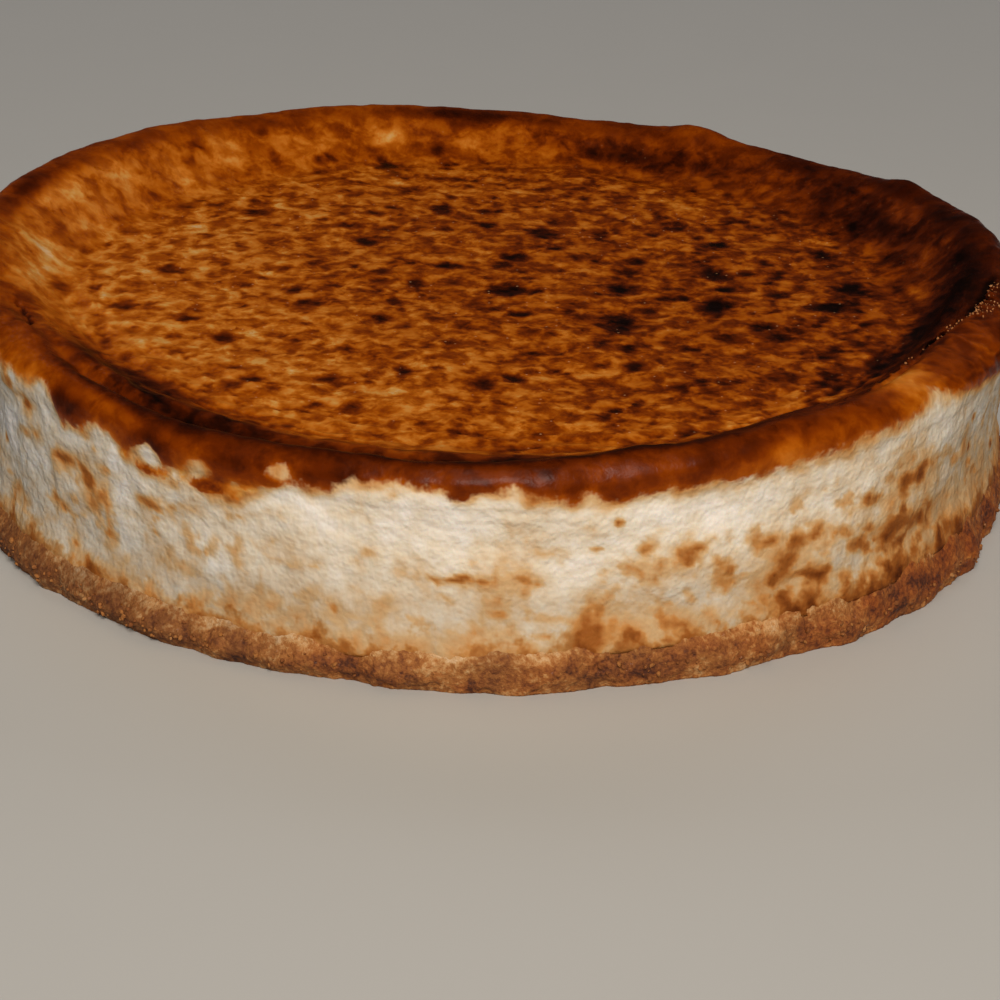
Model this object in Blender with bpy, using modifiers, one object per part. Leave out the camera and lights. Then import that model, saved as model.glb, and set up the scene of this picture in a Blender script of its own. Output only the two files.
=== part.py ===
"""A round baked cheesecake, uncut: a browned, dished filling on a biscuit crumb base.

The origin is at the middle of the underside, +Z is up and -Y is the front.
Azimuths are in degrees from +X, counter-clockwise as seen from above.
"""

import math

import bpy
from mathutils import Vector, noise

MM = 0.001

# Size of the whole cake
BASE_RADIUS = 114.2 * MM
BASE_THICKNESS = 7.4 * MM
WALL_RADIUS = 111.2 * MM
CREST_RADIUS = 108.4 * MM
CREST_HEIGHT = 46.4 * MM
FLOOR_RADIUS = 88.0 * MM
FLOOR_HEIGHT = 37.5 * MM
LAYER_GAP = 0.3 * MM

# Mesh density, shared by both layers so that their facing surfaces match
AZIMUTH_STEPS = 144
MERGE_DISTANCE = 0.01 * MM
SMOOTH_ANGLE = math.radians(50.0)

# Browned roll round the top edge, an ellipse in section
ROLL_WIDTH = 4.0 * MM
ROLL_DROP = 6.0 * MM
ROLL_TUCK = math.radians(-25.0)
ROLL_STEPS = 6
SLOPE_STEPS = 9
FLOOR_STEPS = 4
WALL_STEPS = 6

# Rim height: it sways as the filling rose unevenly and sank at the front
RIM_SWAY = ((1, 1.3 * MM, 75.0), (2, 2.8 * MM, 153.5), (5, 0.35 * MM, 20.0), (9, 0.3 * MM, 64.0))
RIM_DRIFT = ((3, 0.5 * MM, 40.0), (7, 0.35 * MM, 10.0))
SWAY_FOOT = 26.0 * MM
SWAY_TOP = 43.0 * MM
PULL_FOOT = 18.0 * MM
PULL_TOP = 35.0 * MM

# At the right of the front the rim spread inwards to a low, broad roll: azimuth, half width, amount
RIM_DIPS = ((328.0, 20.0, -2.0 * MM), (6.0, 12.0, 1.0 * MM))
CREST_PULLS = ((330.0, 16.0, 6.2 * MM), (212.0, 7.0, 2.0 * MM))

# Places on the top: azimuth, radius, rise, half width round the rim, half width across it
RIM_LUMPS = (
    (62.0, 107.5 * MM, 2.2 * MM, 7.0 * MM, 3.5 * MM),
    (67.0, 97.0 * MM, -1.8 * MM, 15.0 * MM, 6.0 * MM),
    (27.5, 108.0 * MM, 1.6 * MM, 5.0 * MM, 3.0 * MM),
    (9.0, 105.0 * MM, 1.4 * MM, 12.0 * MM, 5.0 * MM),
    (211.0, 104.0 * MM, 2.4 * MM, 9.0 * MM, 4.0 * MM),
    (186.0, 107.0 * MM, 1.2 * MM, 9.0 * MM, 5.0 * MM),
    (155.0, 100.0 * MM, 0.9 * MM, 14.0 * MM, 6.0 * MM),
    (283.0, 105.0 * MM, 0.7 * MM, 16.0 * MM, 4.0 * MM),
)

# Long folds along the rim: azimuth of the middle, half length, radius, rise, half width
RIM_FOLDS = (
    (226.0, 20.0, 103.6 * MM, -2.2 * MM, 1.9 * MM),
    (224.0, 22.0, 98.0 * MM, 1.5 * MM, 3.0 * MM),
    (262.0, 22.0, 103.0 * MM, -1.4 * MM, 2.6 * MM),
    (333.0, 22.0, 106.4 * MM, -2.0 * MM, 1.6 * MM),
    (338.0, 30.0, 98.0 * MM, -1.2 * MM, 4.5 * MM),
)

# Unevenness of the side wall and of the sunken top
WALL_WAVE = 1.0 * MM
WALL_WAVE_SIZE = Vector((19.0 * MM, 19.0 * MM, 13.0 * MM))
FLOOR_WAVE = 0.5 * MM
FLOOR_WAVE_SIZE = 23.0 * MM

# Line between base and filling where it shows at the side
LAYER_RISES = ((333.0, 24.0, 3.6 * MM), (291.0, 14.0, 1.0 * MM), (244.0, 16.0, -1.2 * MM))
LAYER_BLEND_RADIUS = 92.0 * MM

# Broken crumb edge of the base
CRUMB_EDGE = 1.5 * MM
CRUMB_EDGE_SIZE = 13.0 * MM
CRUMB_CHIP = 1.0 * MM
CRUMB_CHIP_SIZE = 6.5 * MM
BASE_SHOULDER = 2.2 * MM
BASE_FOOT_TUCK = 1.0 * MM
BASE_SIDE_STEPS = 4
BASE_LUMPS = ((237.0, 2.6, 2.0 * MM), (258.5, 2.5, -1.2 * MM), (243.0, 15.0, 1.3 * MM), (18.0, 7.0, 0.8 * MM))


def smooth_step(low, high, value):
    """Ease from 0 at low to 1 at high."""
    t = min(max((value - low) / (high - low), 0.0), 1.0)
    return t * t * (3.0 - 2.0 * t)


def azimuth_gap(azimuth, other):
    """Signed difference of two azimuths, in degrees from -180 to 180."""
    return (azimuth - other + 180.0) % 360.0 - 180.0


def bell(offset, half_width):
    """A hill of height 1 that is half as high at about half_width."""
    return math.exp(-0.7 * (offset / half_width) ** 2)


def waves(azimuth, terms):
    """Sum of cosines round the cake, each as count, height and azimuth of its top."""
    return sum(height * math.cos(count * math.radians(azimuth - top)) for count, height, top in terms)


def swells(azimuth, terms):
    """Sum of hills round the cake, each as azimuth, half width in degrees and height."""
    return sum(height * bell(azimuth_gap(azimuth, top), width) for top, width, height in terms)


def layer_height(azimuth, radius):
    """Height of the top of the base, flat inside and uneven towards the side."""
    blend = smooth_step(LAYER_BLEND_RADIUS, WALL_RADIUS, radius)
    return BASE_THICKNESS + blend * swells(azimuth, LAYER_RISES)


def rim_relief(azimuth, radius):
    """Rise of the lumps and folds of the browned rim."""
    rise = 0.0
    for middle, lump_radius, height, along, across in RIM_LUMPS:
        arc = math.radians(azimuth_gap(azimuth, middle)) * lump_radius
        rise += height * bell(arc, along) * bell(radius - lump_radius, across)
    for middle, half_length, fold_radius, height, across in RIM_FOLDS:
        rise += height * bell(azimuth_gap(azimuth, middle), half_length) * bell(radius - fold_radius, across)
    return rise


def filling_profile():
    """Half section of the filling: top from the axis outwards, side downwards, underside inwards."""
    points = []
    for step in range(FLOOR_STEPS):
        points.append((FLOOR_RADIUS * step / FLOOR_STEPS, FLOOR_HEIGHT))
    for step in range(SLOPE_STEPS):
        share = step / SLOPE_STEPS
        radius = FLOOR_RADIUS + (CREST_RADIUS - FLOOR_RADIUS) * share
        height = FLOOR_HEIGHT + (CREST_HEIGHT - FLOOR_HEIGHT) * smooth_step(0.0, 1.0, share)
        points.append((radius, height))
    for step in range(ROLL_STEPS):
        turn = math.pi / 2 + (ROLL_TUCK - math.pi / 2) * step / (ROLL_STEPS - 1)
        radius = CREST_RADIUS + ROLL_WIDTH * math.cos(turn)
        height = CREST_HEIGHT - ROLL_DROP + ROLL_DROP * math.sin(turn)
        points.append((radius, height))
    tuck_radius, tuck_height = points[-1]
    foot = BASE_THICKNESS + LAYER_GAP
    for step in range(1, WALL_STEPS + 1):
        share = step / WALL_STEPS
        radius = WALL_RADIUS + (tuck_radius - WALL_RADIUS) * (1.0 - smooth_step(0.0, 0.4, share))
        points.append((radius, tuck_height + (foot - tuck_height) * share))
    points.append((LAYER_BLEND_RADIUS, foot))
    points.append((0.0, foot))
    return points


def base_profile():
    """Half section of the base, in the same order; its top ring at the wall matches the filling's foot."""
    points = [(0.0, BASE_THICKNESS), (LAYER_BLEND_RADIUS, BASE_THICKNESS), (WALL_RADIUS, BASE_THICKNESS)]
    for step in range(BASE_SIDE_STEPS + 1):
        share = step / BASE_SIDE_STEPS
        turn = math.pi / 2 * smooth_step(0.0, 0.7, share)
        shoulder = (BASE_RADIUS - WALL_RADIUS) * (0.4 + 0.6 * math.sin(turn))
        tuck = BASE_FOOT_TUCK * smooth_step(0.6, 1.0, share)
        drop = BASE_SHOULDER * 0.15 + (BASE_THICKNESS - BASE_SHOULDER * 0.15) * share
        points.append((WALL_RADIUS + shoulder - tuck, BASE_THICKNESS - drop))
    points.append((0.0, 0.0))
    return points


def turn_profile(name, points, collection):
    """Turn a half section about Z into one closed mesh object."""
    mesh = bpy.data.meshes.new(name)
    vertices = [(radius, 0.0, height) for radius, height in points]
    mesh.from_pydata(vertices, [(i, i + 1) for i in range(len(points) - 1)], [])
    turned = bpy.data.objects.new(name, mesh)
    collection.objects.link(turned)
    screw = turned.modifiers.new("Turn", "SCREW")
    screw.axis = "Z"
    screw.angle = math.tau
    screw.steps = AZIMUTH_STEPS
    screw.render_steps = AZIMUTH_STEPS
    screw.use_merge_vertices = True
    screw.merge_threshold = MERGE_DISTANCE
    bpy.context.view_layer.update()
    solid = bpy.data.meshes.new_from_object(turned.evaluated_get(bpy.context.evaluated_depsgraph_get()))
    turned.modifiers.clear()
    turned.data = solid
    bpy.data.meshes.remove(mesh)
    solid.name = name
    return turned


def reshape(solid, move):
    """Move each vertex of a turned solid by move(azimuth, radius, height) -> new radius and height."""
    for vertex in solid.data.vertices:
        radius = math.hypot(vertex.co.x, vertex.co.y)
        angle = math.atan2(vertex.co.y, vertex.co.x)
        new_radius, new_height = move(math.degrees(angle), radius, vertex.co.z)
        vertex.co = (new_radius * math.cos(angle), new_radius * math.sin(angle), new_height)
    solid.data.shade_smooth()
    solid.data.set_sharp_from_angle(angle=SMOOTH_ANGLE)


def edge_drift(azimuth, radius, height):
    """How far the side stands out or in, which both layers share at their common ring."""
    angle = math.radians(azimuth)
    spot = Vector((radius * math.cos(angle), radius * math.sin(angle), height))
    scaled = Vector(a / b for a, b in zip(spot, WALL_WAVE_SIZE))
    drift = WALL_WAVE * noise.noise(scaled) + waves(azimuth, RIM_DRIFT)
    return drift * smooth_step(FLOOR_RADIUS, CREST_RADIUS, radius)


def move_filling(azimuth, radius, height):
    """Give the turned filling its swaying rim, lumps, folds and uneven wall."""
    foot = BASE_THICKNESS + LAYER_GAP
    outer = CREST_RADIUS + ROLL_WIDTH
    new_radius = radius + edge_drift(azimuth, radius, height)
    if height < foot + MERGE_DISTANCE:
        return new_radius, layer_height(azimuth, radius) + LAYER_GAP
    hold = smooth_step(FLOOR_RADIUS, CREST_RADIUS, radius) - smooth_step(CREST_RADIUS, outer, radius)
    new_radius -= smooth_step(PULL_FOOT, PULL_TOP, height) * hold * swells(azimuth, CREST_PULLS)
    if radius < CREST_RADIUS:
        lift = smooth_step(FLOOR_RADIUS, CREST_RADIUS, radius)
    else:
        lift = smooth_step(SWAY_FOOT, SWAY_TOP, height)
    foot_rise = layer_height(azimuth, radius) - BASE_THICKNESS
    settle = 1.0 - smooth_step(foot, SWAY_FOOT, height)
    angle = math.radians(azimuth)
    spot = Vector((radius * math.cos(angle), radius * math.sin(angle), 0.0)) / FLOOR_WAVE_SIZE
    top = smooth_step(SWAY_FOOT, FLOOR_HEIGHT, height)
    new_height = height + settle * foot_rise
    new_height += lift * (waves(azimuth, RIM_SWAY) + swells(azimuth, RIM_DIPS))
    new_height += top * (rim_relief(azimuth, radius) + FLOOR_WAVE * noise.noise(spot))
    return new_radius, new_height


def move_base(azimuth, radius, height):
    """Give the turned base its broken crumb edge, and keep its underside flat."""
    if radius < WALL_RADIUS + MERGE_DISTANCE:
        top = layer_height(azimuth, radius) if height > 0.0 else 0.0
        foot = BASE_THICKNESS + LAYER_GAP
        return radius + edge_drift(azimuth, radius, foot), top
    angle = math.radians(azimuth)
    spot = Vector((BASE_RADIUS * math.cos(angle), BASE_RADIUS * math.sin(angle), height))
    reach = CRUMB_EDGE * noise.noise(spot / CRUMB_EDGE_SIZE)
    reach += CRUMB_CHIP * noise.noise(spot / CRUMB_CHIP_SIZE)
    reach += swells(azimuth, BASE_LUMPS)
    stretch = layer_height(azimuth, radius) / BASE_THICKNESS
    share = smooth_step(WALL_RADIUS, BASE_RADIUS, radius)
    return radius + share * reach, height * stretch


def browned_material(name, colour, roughness):
    """A plain Principled material."""
    material = bpy.data.materials.new(name)
    material.use_nodes = True
    shader = material.node_tree.nodes["Principled BSDF"]
    shader.inputs["Base Color"].default_value = (*colour, 1.0)
    shader.inputs["Roughness"].default_value = roughness
    shader.inputs["Metallic"].default_value = 0.0
    return material


def main():
    for leftover in list(bpy.data.objects):
        bpy.data.objects.remove(leftover)
    cake = bpy.data.collections.new("Cheesecake")
    bpy.context.scene.collection.children.link(cake)

    base = turn_profile("crumb_base", base_profile(), cake)
    reshape(base, move_base)
    base.data.materials.append(browned_material("Biscuit crumb", (0.32, 0.13, 0.05), 0.85))

    filling = turn_profile("baked_filling", filling_profile(), cake)
    reshape(filling, move_filling)
    filling.data.materials.append(browned_material("Baked cheese filling", (0.62, 0.42, 0.24), 0.55))


if __name__ == "__main__":
    main()
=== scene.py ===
# Looks of a round baked cheesecake with a browned, dished top on a biscuit crumb base.
# Lengths are in metres: origin under the middle of the base, +Z up, -Y the front.
# Azimuths are in degrees from +X, counter-clockwise as seen from above.

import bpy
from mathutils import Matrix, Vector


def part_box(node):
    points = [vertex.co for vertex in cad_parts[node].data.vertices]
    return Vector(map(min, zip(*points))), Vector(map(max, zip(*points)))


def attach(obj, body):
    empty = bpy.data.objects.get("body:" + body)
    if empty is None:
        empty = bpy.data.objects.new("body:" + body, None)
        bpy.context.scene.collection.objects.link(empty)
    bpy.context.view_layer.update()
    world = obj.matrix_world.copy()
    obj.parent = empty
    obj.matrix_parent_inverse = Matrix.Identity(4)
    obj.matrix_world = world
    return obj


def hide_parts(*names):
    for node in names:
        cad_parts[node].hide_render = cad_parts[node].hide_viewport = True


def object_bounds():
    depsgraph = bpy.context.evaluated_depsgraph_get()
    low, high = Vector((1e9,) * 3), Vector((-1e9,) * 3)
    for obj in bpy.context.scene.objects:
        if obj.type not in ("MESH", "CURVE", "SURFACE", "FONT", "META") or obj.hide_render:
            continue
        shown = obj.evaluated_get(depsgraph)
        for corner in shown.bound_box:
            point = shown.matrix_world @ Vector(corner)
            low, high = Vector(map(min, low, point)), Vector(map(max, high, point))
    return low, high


bl_info = {
    "name": "Baked Cheesecake",
    "version": (1, 0, 0),
    "blender": (4, 5, 0),
    "location": "View3D > Sidebar > Cheesecake",
    "description": "Fine surface, crumbs and baked colours for a whole cheesecake",
    "category": "Add Mesh",
}

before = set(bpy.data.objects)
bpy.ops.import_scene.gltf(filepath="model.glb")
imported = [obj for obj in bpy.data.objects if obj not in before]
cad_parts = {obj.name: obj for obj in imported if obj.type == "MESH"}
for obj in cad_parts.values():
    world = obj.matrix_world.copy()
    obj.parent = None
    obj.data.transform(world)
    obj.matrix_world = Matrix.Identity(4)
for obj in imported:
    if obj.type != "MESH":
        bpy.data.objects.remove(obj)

import itertools
import math

import bmesh
import bpy
import numpy as np
from mathutils import Euler, Matrix, Vector, noise

MM = 0.001
CAD_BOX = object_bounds()
CAKE_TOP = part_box("baked_filling")[1].z
BODY = "root"

# Form of the filling, the same named sizes as its solid
BASE_RADIUS = 114.2 * MM
BASE_THICKNESS = 7.4 * MM
WALL_RADIUS = 111.2 * MM
CREST_RADIUS = 108.4 * MM
CREST_HEIGHT = 46.4 * MM
FLOOR_RADIUS = 88.0 * MM
FLOOR_HEIGHT = 37.5 * MM
ROLL_WIDTH = 4.0 * MM
ROLL_DROP = 6.0 * MM
ROLL_TUCK = math.radians(-25.0)
SWAY_FOOT = 26.0 * MM
SWAY_TOP = 43.0 * MM
PULL_FOOT = 18.0 * MM
PULL_TOP = 35.0 * MM
LAYER_BLEND_RADIUS = 92.0 * MM

# Slow waves round the cake: count, height, azimuth of the top
RIM_SWAY = ((1, 1.3 * MM, 75.0), (2, 2.8 * MM, 153.5), (5, 0.35 * MM, 20.0), (9, 0.3 * MM, 64.0))
RIM_DRIFT = ((3, 0.5 * MM, 40.0), (7, 0.35 * MM, 10.0))

# Hills round the cake: azimuth, half width in degrees, height
RIM_DIPS = ((328.0, 20.0, -2.0 * MM), (6.0, 12.0, 1.0 * MM))
CREST_PULLS = ((330.0, 16.0, 6.2 * MM), (212.0, 7.0, 2.0 * MM))
LAYER_RISES = ((333.0, 24.0, 3.6 * MM), (291.0, 14.0, 1.0 * MM), (244.0, 16.0, -1.2 * MM))
BASE_LUMPS = ((237.0, 2.6, 2.0 * MM), (258.5, 2.5, -1.2 * MM), (243.0, 15.0, 1.3 * MM), (18.0, 7.0, 0.8 * MM))

# Lumps on the top: azimuth, then in mm radius, rise, half width round the rim, half width across it
RIM_LUMPS = (
    (62.0, 107.5, 2.2, 7.0, 3.5),
    (67.0, 97.0, -1.8, 15.0, 6.0),
    (27.5, 108.0, 1.6, 5.0, 3.0),
    (9.0, 105.0, 1.4, 12.0, 5.0),
    (211.0, 104.0, 2.4, 9.0, 4.0),
    (186.0, 107.0, 1.2, 9.0, 5.0),
    (155.0, 100.0, 0.9, 14.0, 6.0),
    (283.0, 105.0, 0.7, 16.0, 4.0),
)

# Folds along the rim: azimuth, half length in degrees, then in mm radius, rise, half width
RIM_FOLDS = (
    (226.0, 20.0, 103.6, -2.2, 1.9),
    (224.0, 22.0, 98.0, 1.5, 3.0),
    (262.0, 22.0, 103.0, -1.4, 2.6),
    (333.0, 22.0, 106.4, -2.0, 1.6),
    (338.0, 30.0, 98.0, -1.2, 4.5),
)

# Slow waves of the side and the sunken top, then the uneven edge, chips and foot of the base
WALL_WAVE = 1.0 * MM
WALL_WAVE_SIZE = (19.0 * MM, 19.0 * MM, 13.0 * MM)
FLOOR_WAVE = 0.5 * MM
FLOOR_WAVE_SIZE = 23.0 * MM
CRUMB_EDGE = 1.5 * MM
CRUMB_EDGE_SIZE = 13.0 * MM
CRUMB_CHIP = 1.0 * MM
CRUMB_CHIP_SIZE = 6.5 * MM
FOOT_FLARE = 1.5 * MM
BASE_SIDE_TOP = 9.4 * MM
BASE_INSET = 0.6 * MM
HEAD_ROOM = 1.2 * MM
FOOT_FLARE_HEIGHT = 9.0 * MM

# Height of the lower edge of the browned skin round the side: azimuth and height
SKIN_EDGE = (
    (0, 40), (22, 41.5), (60, 39), (95, 41), (130, 42.5), (165, 42), (198, 42.5), (214, 41), (220, 40.6),
    (222.5, 40.4), (224, 36.8), (227.5, 36), (229.6, 39), (231.4, 37.6), (233.4, 34.4), (235.4, 32.2),
    (238.2, 32.4), (241, 34.2), (243.4, 32.2), (246.6, 32.6), (249.2, 35.2), (251.4, 38.2), (254, 36.8),
    (258, 39.4), (272, 39.6), (281.5, 37.8), (286, 39), (298, 39.6), (308, 42), (320, 43.2), (336, 39.8),
)

# Runs of skin over the side, and pale bits in it: azimuth, height, half width, half height, amount
SKIN_RUNS = (
    (268, 38, 1.8, 1.9, 0.9), (278, 37, 1.7, 1.9, 0.9), (282, 37.2, 2, 1.8, 0.5),
    (220.6, 40.2, 1.7, 2, -1.3), (236.4, 36.6, 3.2, 2.9, -4), (243, 37.2, 3, 2.6, -3.3),
    (246.4, 35.2, 1, 1, -1.8), (239.6, 33.6, 0.9, 1, -1.2), (250.4, 39.4, 3.2, 2, -1.7),
    (236.6, 32.9, 2.6, 1, 1.7), (243.2, 33.3, 2.6, 1, 1.7), (250.8, 36.8, 2.8, 1, 1.4),
    (262, 39.5, 2, 1.6, -0.7), (273, 40.5, 1.8, 1.4, -0.8), (320, 43.5, 4, 1.6, -0.8),
    (313, 40.4, 2, 1, 0.8), (224.6, 35, 1, 1.6, 0.7), (233, 33.8, 0.9, 1.4, 0.5), (228, 34.6, 0.9, 1.2, 0.6),
    (246.4, 31.6, 1.2, 1.4, 0.7), (239.8, 31.2, 1, 1.4, 0.6), (256, 36.4, 1.4, 1.2, 0.7),
    (262, 37.6, 0.9, 0.9, 0.6), (274, 36.8, 1, 1.1, 0.6), (296, 37.6, 1.6, 1.2, 0.6),
    (303, 39.2, 1.4, 1.1, 0.5),
)

# Golden patches on the pale side: azimuth, height, half width, half height, strength
SIDE_STAINS = (
    (265.4, 21.6, 2, 0.6, 0.52), (268, 21.7, 2.2, 0.6, 0.60), (270.3, 21.8, 1.5, 0.7, 0.56),
    (273.6, 21.9, 1.5, 0.7, 0.48), (275.4, 21.2, 1.6, 0.8, 0.50), (281.2, 22.6, 1.5, 0.8, 0.42),
    (283.4, 23.5, 1.9, 0.9, 0.56), (280.8, 27.9, 1.4, 1, 0.45), (279.5, 32.6, 1.6, 1.4, 0.38),
    (281.4, 36.4, 1.6, 1.4, 0.35), (279, 12.1, 1.8, 1.2, 0.36), (281.4, 12, 2, 1.4, 0.46),
    (284.2, 11.7, 1.7, 1.1, 0.36), (266.6, 17, 2.4, 1.1, 0.30), (271.2, 15.5, 1.8, 1.3, 0.30),
    (271.5, 27.3, 1.4, 2, 0.20), (258.2, 33.6, 1.4, 1.4, 0.24), (259.3, 25.6, 1.8, 1.2, 0.26),
    (280.6, 16.2, 1.8, 1.5, 0.30), (284.1, 17.2, 1.6, 1.8, 0.24), (256.3, 13.7, 0.8, 0.9, 0.60),
    (286.3, 21.3, 1.4, 1.2, 0.32), (285.1, 26.9, 1.6, 1.2, 0.34), (287.6, 14.9, 1.3, 1, 0.36),
    (289.2, 11.5, 3, 1, 0.40), (289.9, 26.3, 2.6, 1.2, 0.50), (289.2, 23.8, 1.7, 1.5, 0.58),
    (292.5, 23, 1.6, 1.4, 0.36), (294.1, 20.5, 2.4, 1.2, 0.38), (296.4, 23.9, 2.4, 1.2, 0.40),
    (298.9, 24.1, 2, 1, 0.40), (301.5, 24, 1.6, 2, 0.60), (303.7, 24.2, 2.6, 2, 0.62),
    (300.3, 19.8, 2.1, 2.3, 0.80), (298.6, 16.3, 1.7, 1.4, 0.60), (304.7, 15.7, 2.4, 1.1, 0.62),
    (302.5, 16.6, 2.2, 0.9, 0.42), (300.2, 12.3, 1.8, 1.5, 0.66), (298.2, 13.1, 1.1, 1.1, 0.36),
    (303.5, 10.4, 2, 1.8, 0.66), (301.3, 9.4, 2.2, 1.1, 0.40), (309.9, 27.9, 2.4, 1.1, 0.56),
    (311.6, 27.4, 1.8, 1.4, 0.52), (307.6, 23.5, 1.6, 2.6, 0.46), (310.1, 20.1, 1.6, 1.2, 0.46),
    (312, 18.2, 1.1, 0.9, 0.45), (319.1, 29, 2, 1.8, 0.64), (317, 29, 2.6, 1.4, 0.56),
    (315.4, 27.8, 1.8, 1.8, 0.46), (315.6, 20.8, 2.8, 1.6, 0.70), (318.6, 18.9, 3.2, 1.4, 0.52),
    (314.3, 18, 1.8, 2.6, 0.70), (316.4, 16, 1.8, 1.6, 0.62), (313.4, 12.2, 1.1, 1.8, 0.66),
    (311.4, 10.8, 1.4, 1.8, 0.60), (315.4, 9.6, 2.2, 1.6, 0.54), (319.8, 22.1, 1.4, 3.2, 0.44),
    (316.2, 25, 1.2, 3, 0.34), (327, 11.8, 2.6, 1.3, 0.36), (324, 11, 2, 1.2, 0.34), (331, 15, 4, 1.6, 0.26),
    (322, 16.4, 2.8, 1.2, 0.32), (325.5, 19, 2.4, 1.3, 0.26), (316.1, 36.5, 4.2, 1.8, 0.26),
    (224.9, 28.3, 2, 1.2, 0.54), (222.9, 27.4, 2.4, 1.1, 0.46), (226.9, 26.9, 1.4, 1.6, 0.50),
    (227.6, 25.2, 1.4, 1.6, 0.50), (230.5, 28.5, 1.1, 2, 0.38), (228.8, 33, 1.1, 1.3, 0.36),
    (229.4, 23.6, 1.5, 1.5, 0.54), (228.6, 19.8, 1.8, 1.4, 0.40), (230.4, 19.5, 0.9, 2.6, 0.40),
    (222.1, 19.4, 2.2, 2.2, 0.28), (223.7, 17.9, 2, 1.6, 0.28), (235.3, 26.2, 2, 1.3, 0.66),
    (237, 25, 1.9, 1.1, 0.54), (239.4, 26.8, 2.4, 1, 0.40), (238.2, 30.9, 1, 0.9, 0.32),
    (216.9, 28.8, 1.8, 1.1, 0.54), (219.4, 30, 1.5, 1, 0.50), (217.9, 34.9, 1.3, 1.3, 0.90),
    (214.6, 38, 2.2, 1.8, 0.85), (213.8, 13.3, 1.6, 1.4, 0.32), (225.4, 10.9, 1.1, 0.9, 0.66),
    (230.1, 16.1, 0.9, 0.9, 0.42), (236.8, 19.8, 1.1, 0.9, 0.36), (246, 27.6, 1.7, 2.4, 0.36),
    (245.5, 31.5, 1.8, 1.8, 0.30), (245.6, 21.4, 2.2, 1.6, 0.46), (242.3, 19.5, 1.3, 1.8, 0.30),
    (251.4, 23.9, 2.4, 1.3, 0.30), (248.5, 13.5, 1.6, 1.2, 0.28), (271.9, 16.5, 1, 3.2, 0.20),
    (280, 16, 1.2, 3.6, 0.22), (276.2, 10.6, 4, 1.3, 0.24), (276.2, 15.4, 2.6, 2.8, -0.34),
    (274, 25.5, 1.2, 3.4, 0.16), (287, 18.5, 1.6, 2.6, 0.20), (262, 24.5, 2.2, 1.2, 0.18),
    (254.4, 21, 1.6, 2.2, 0.18), (250.4, 39.6, 2.8, 2, 0.34), (243, 37.2, 2.4, 2, 0.26),
    (251, 30.2, 1.4, 2, 0.20), (242, 30.4, 1.4, 1.6, 0.24), (233, 20.6, 1.2, 2.2, 0.26),
)
HIDDEN_STAIN_COUNT = 84
HIDDEN_SIDE = (340.0, 570.0)
PIN_HOLES = ((330.5, 32.7), (331.3, 25.6), (282.5, 33.0), (340.0, 20.0), (212.0, 24.0))

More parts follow.
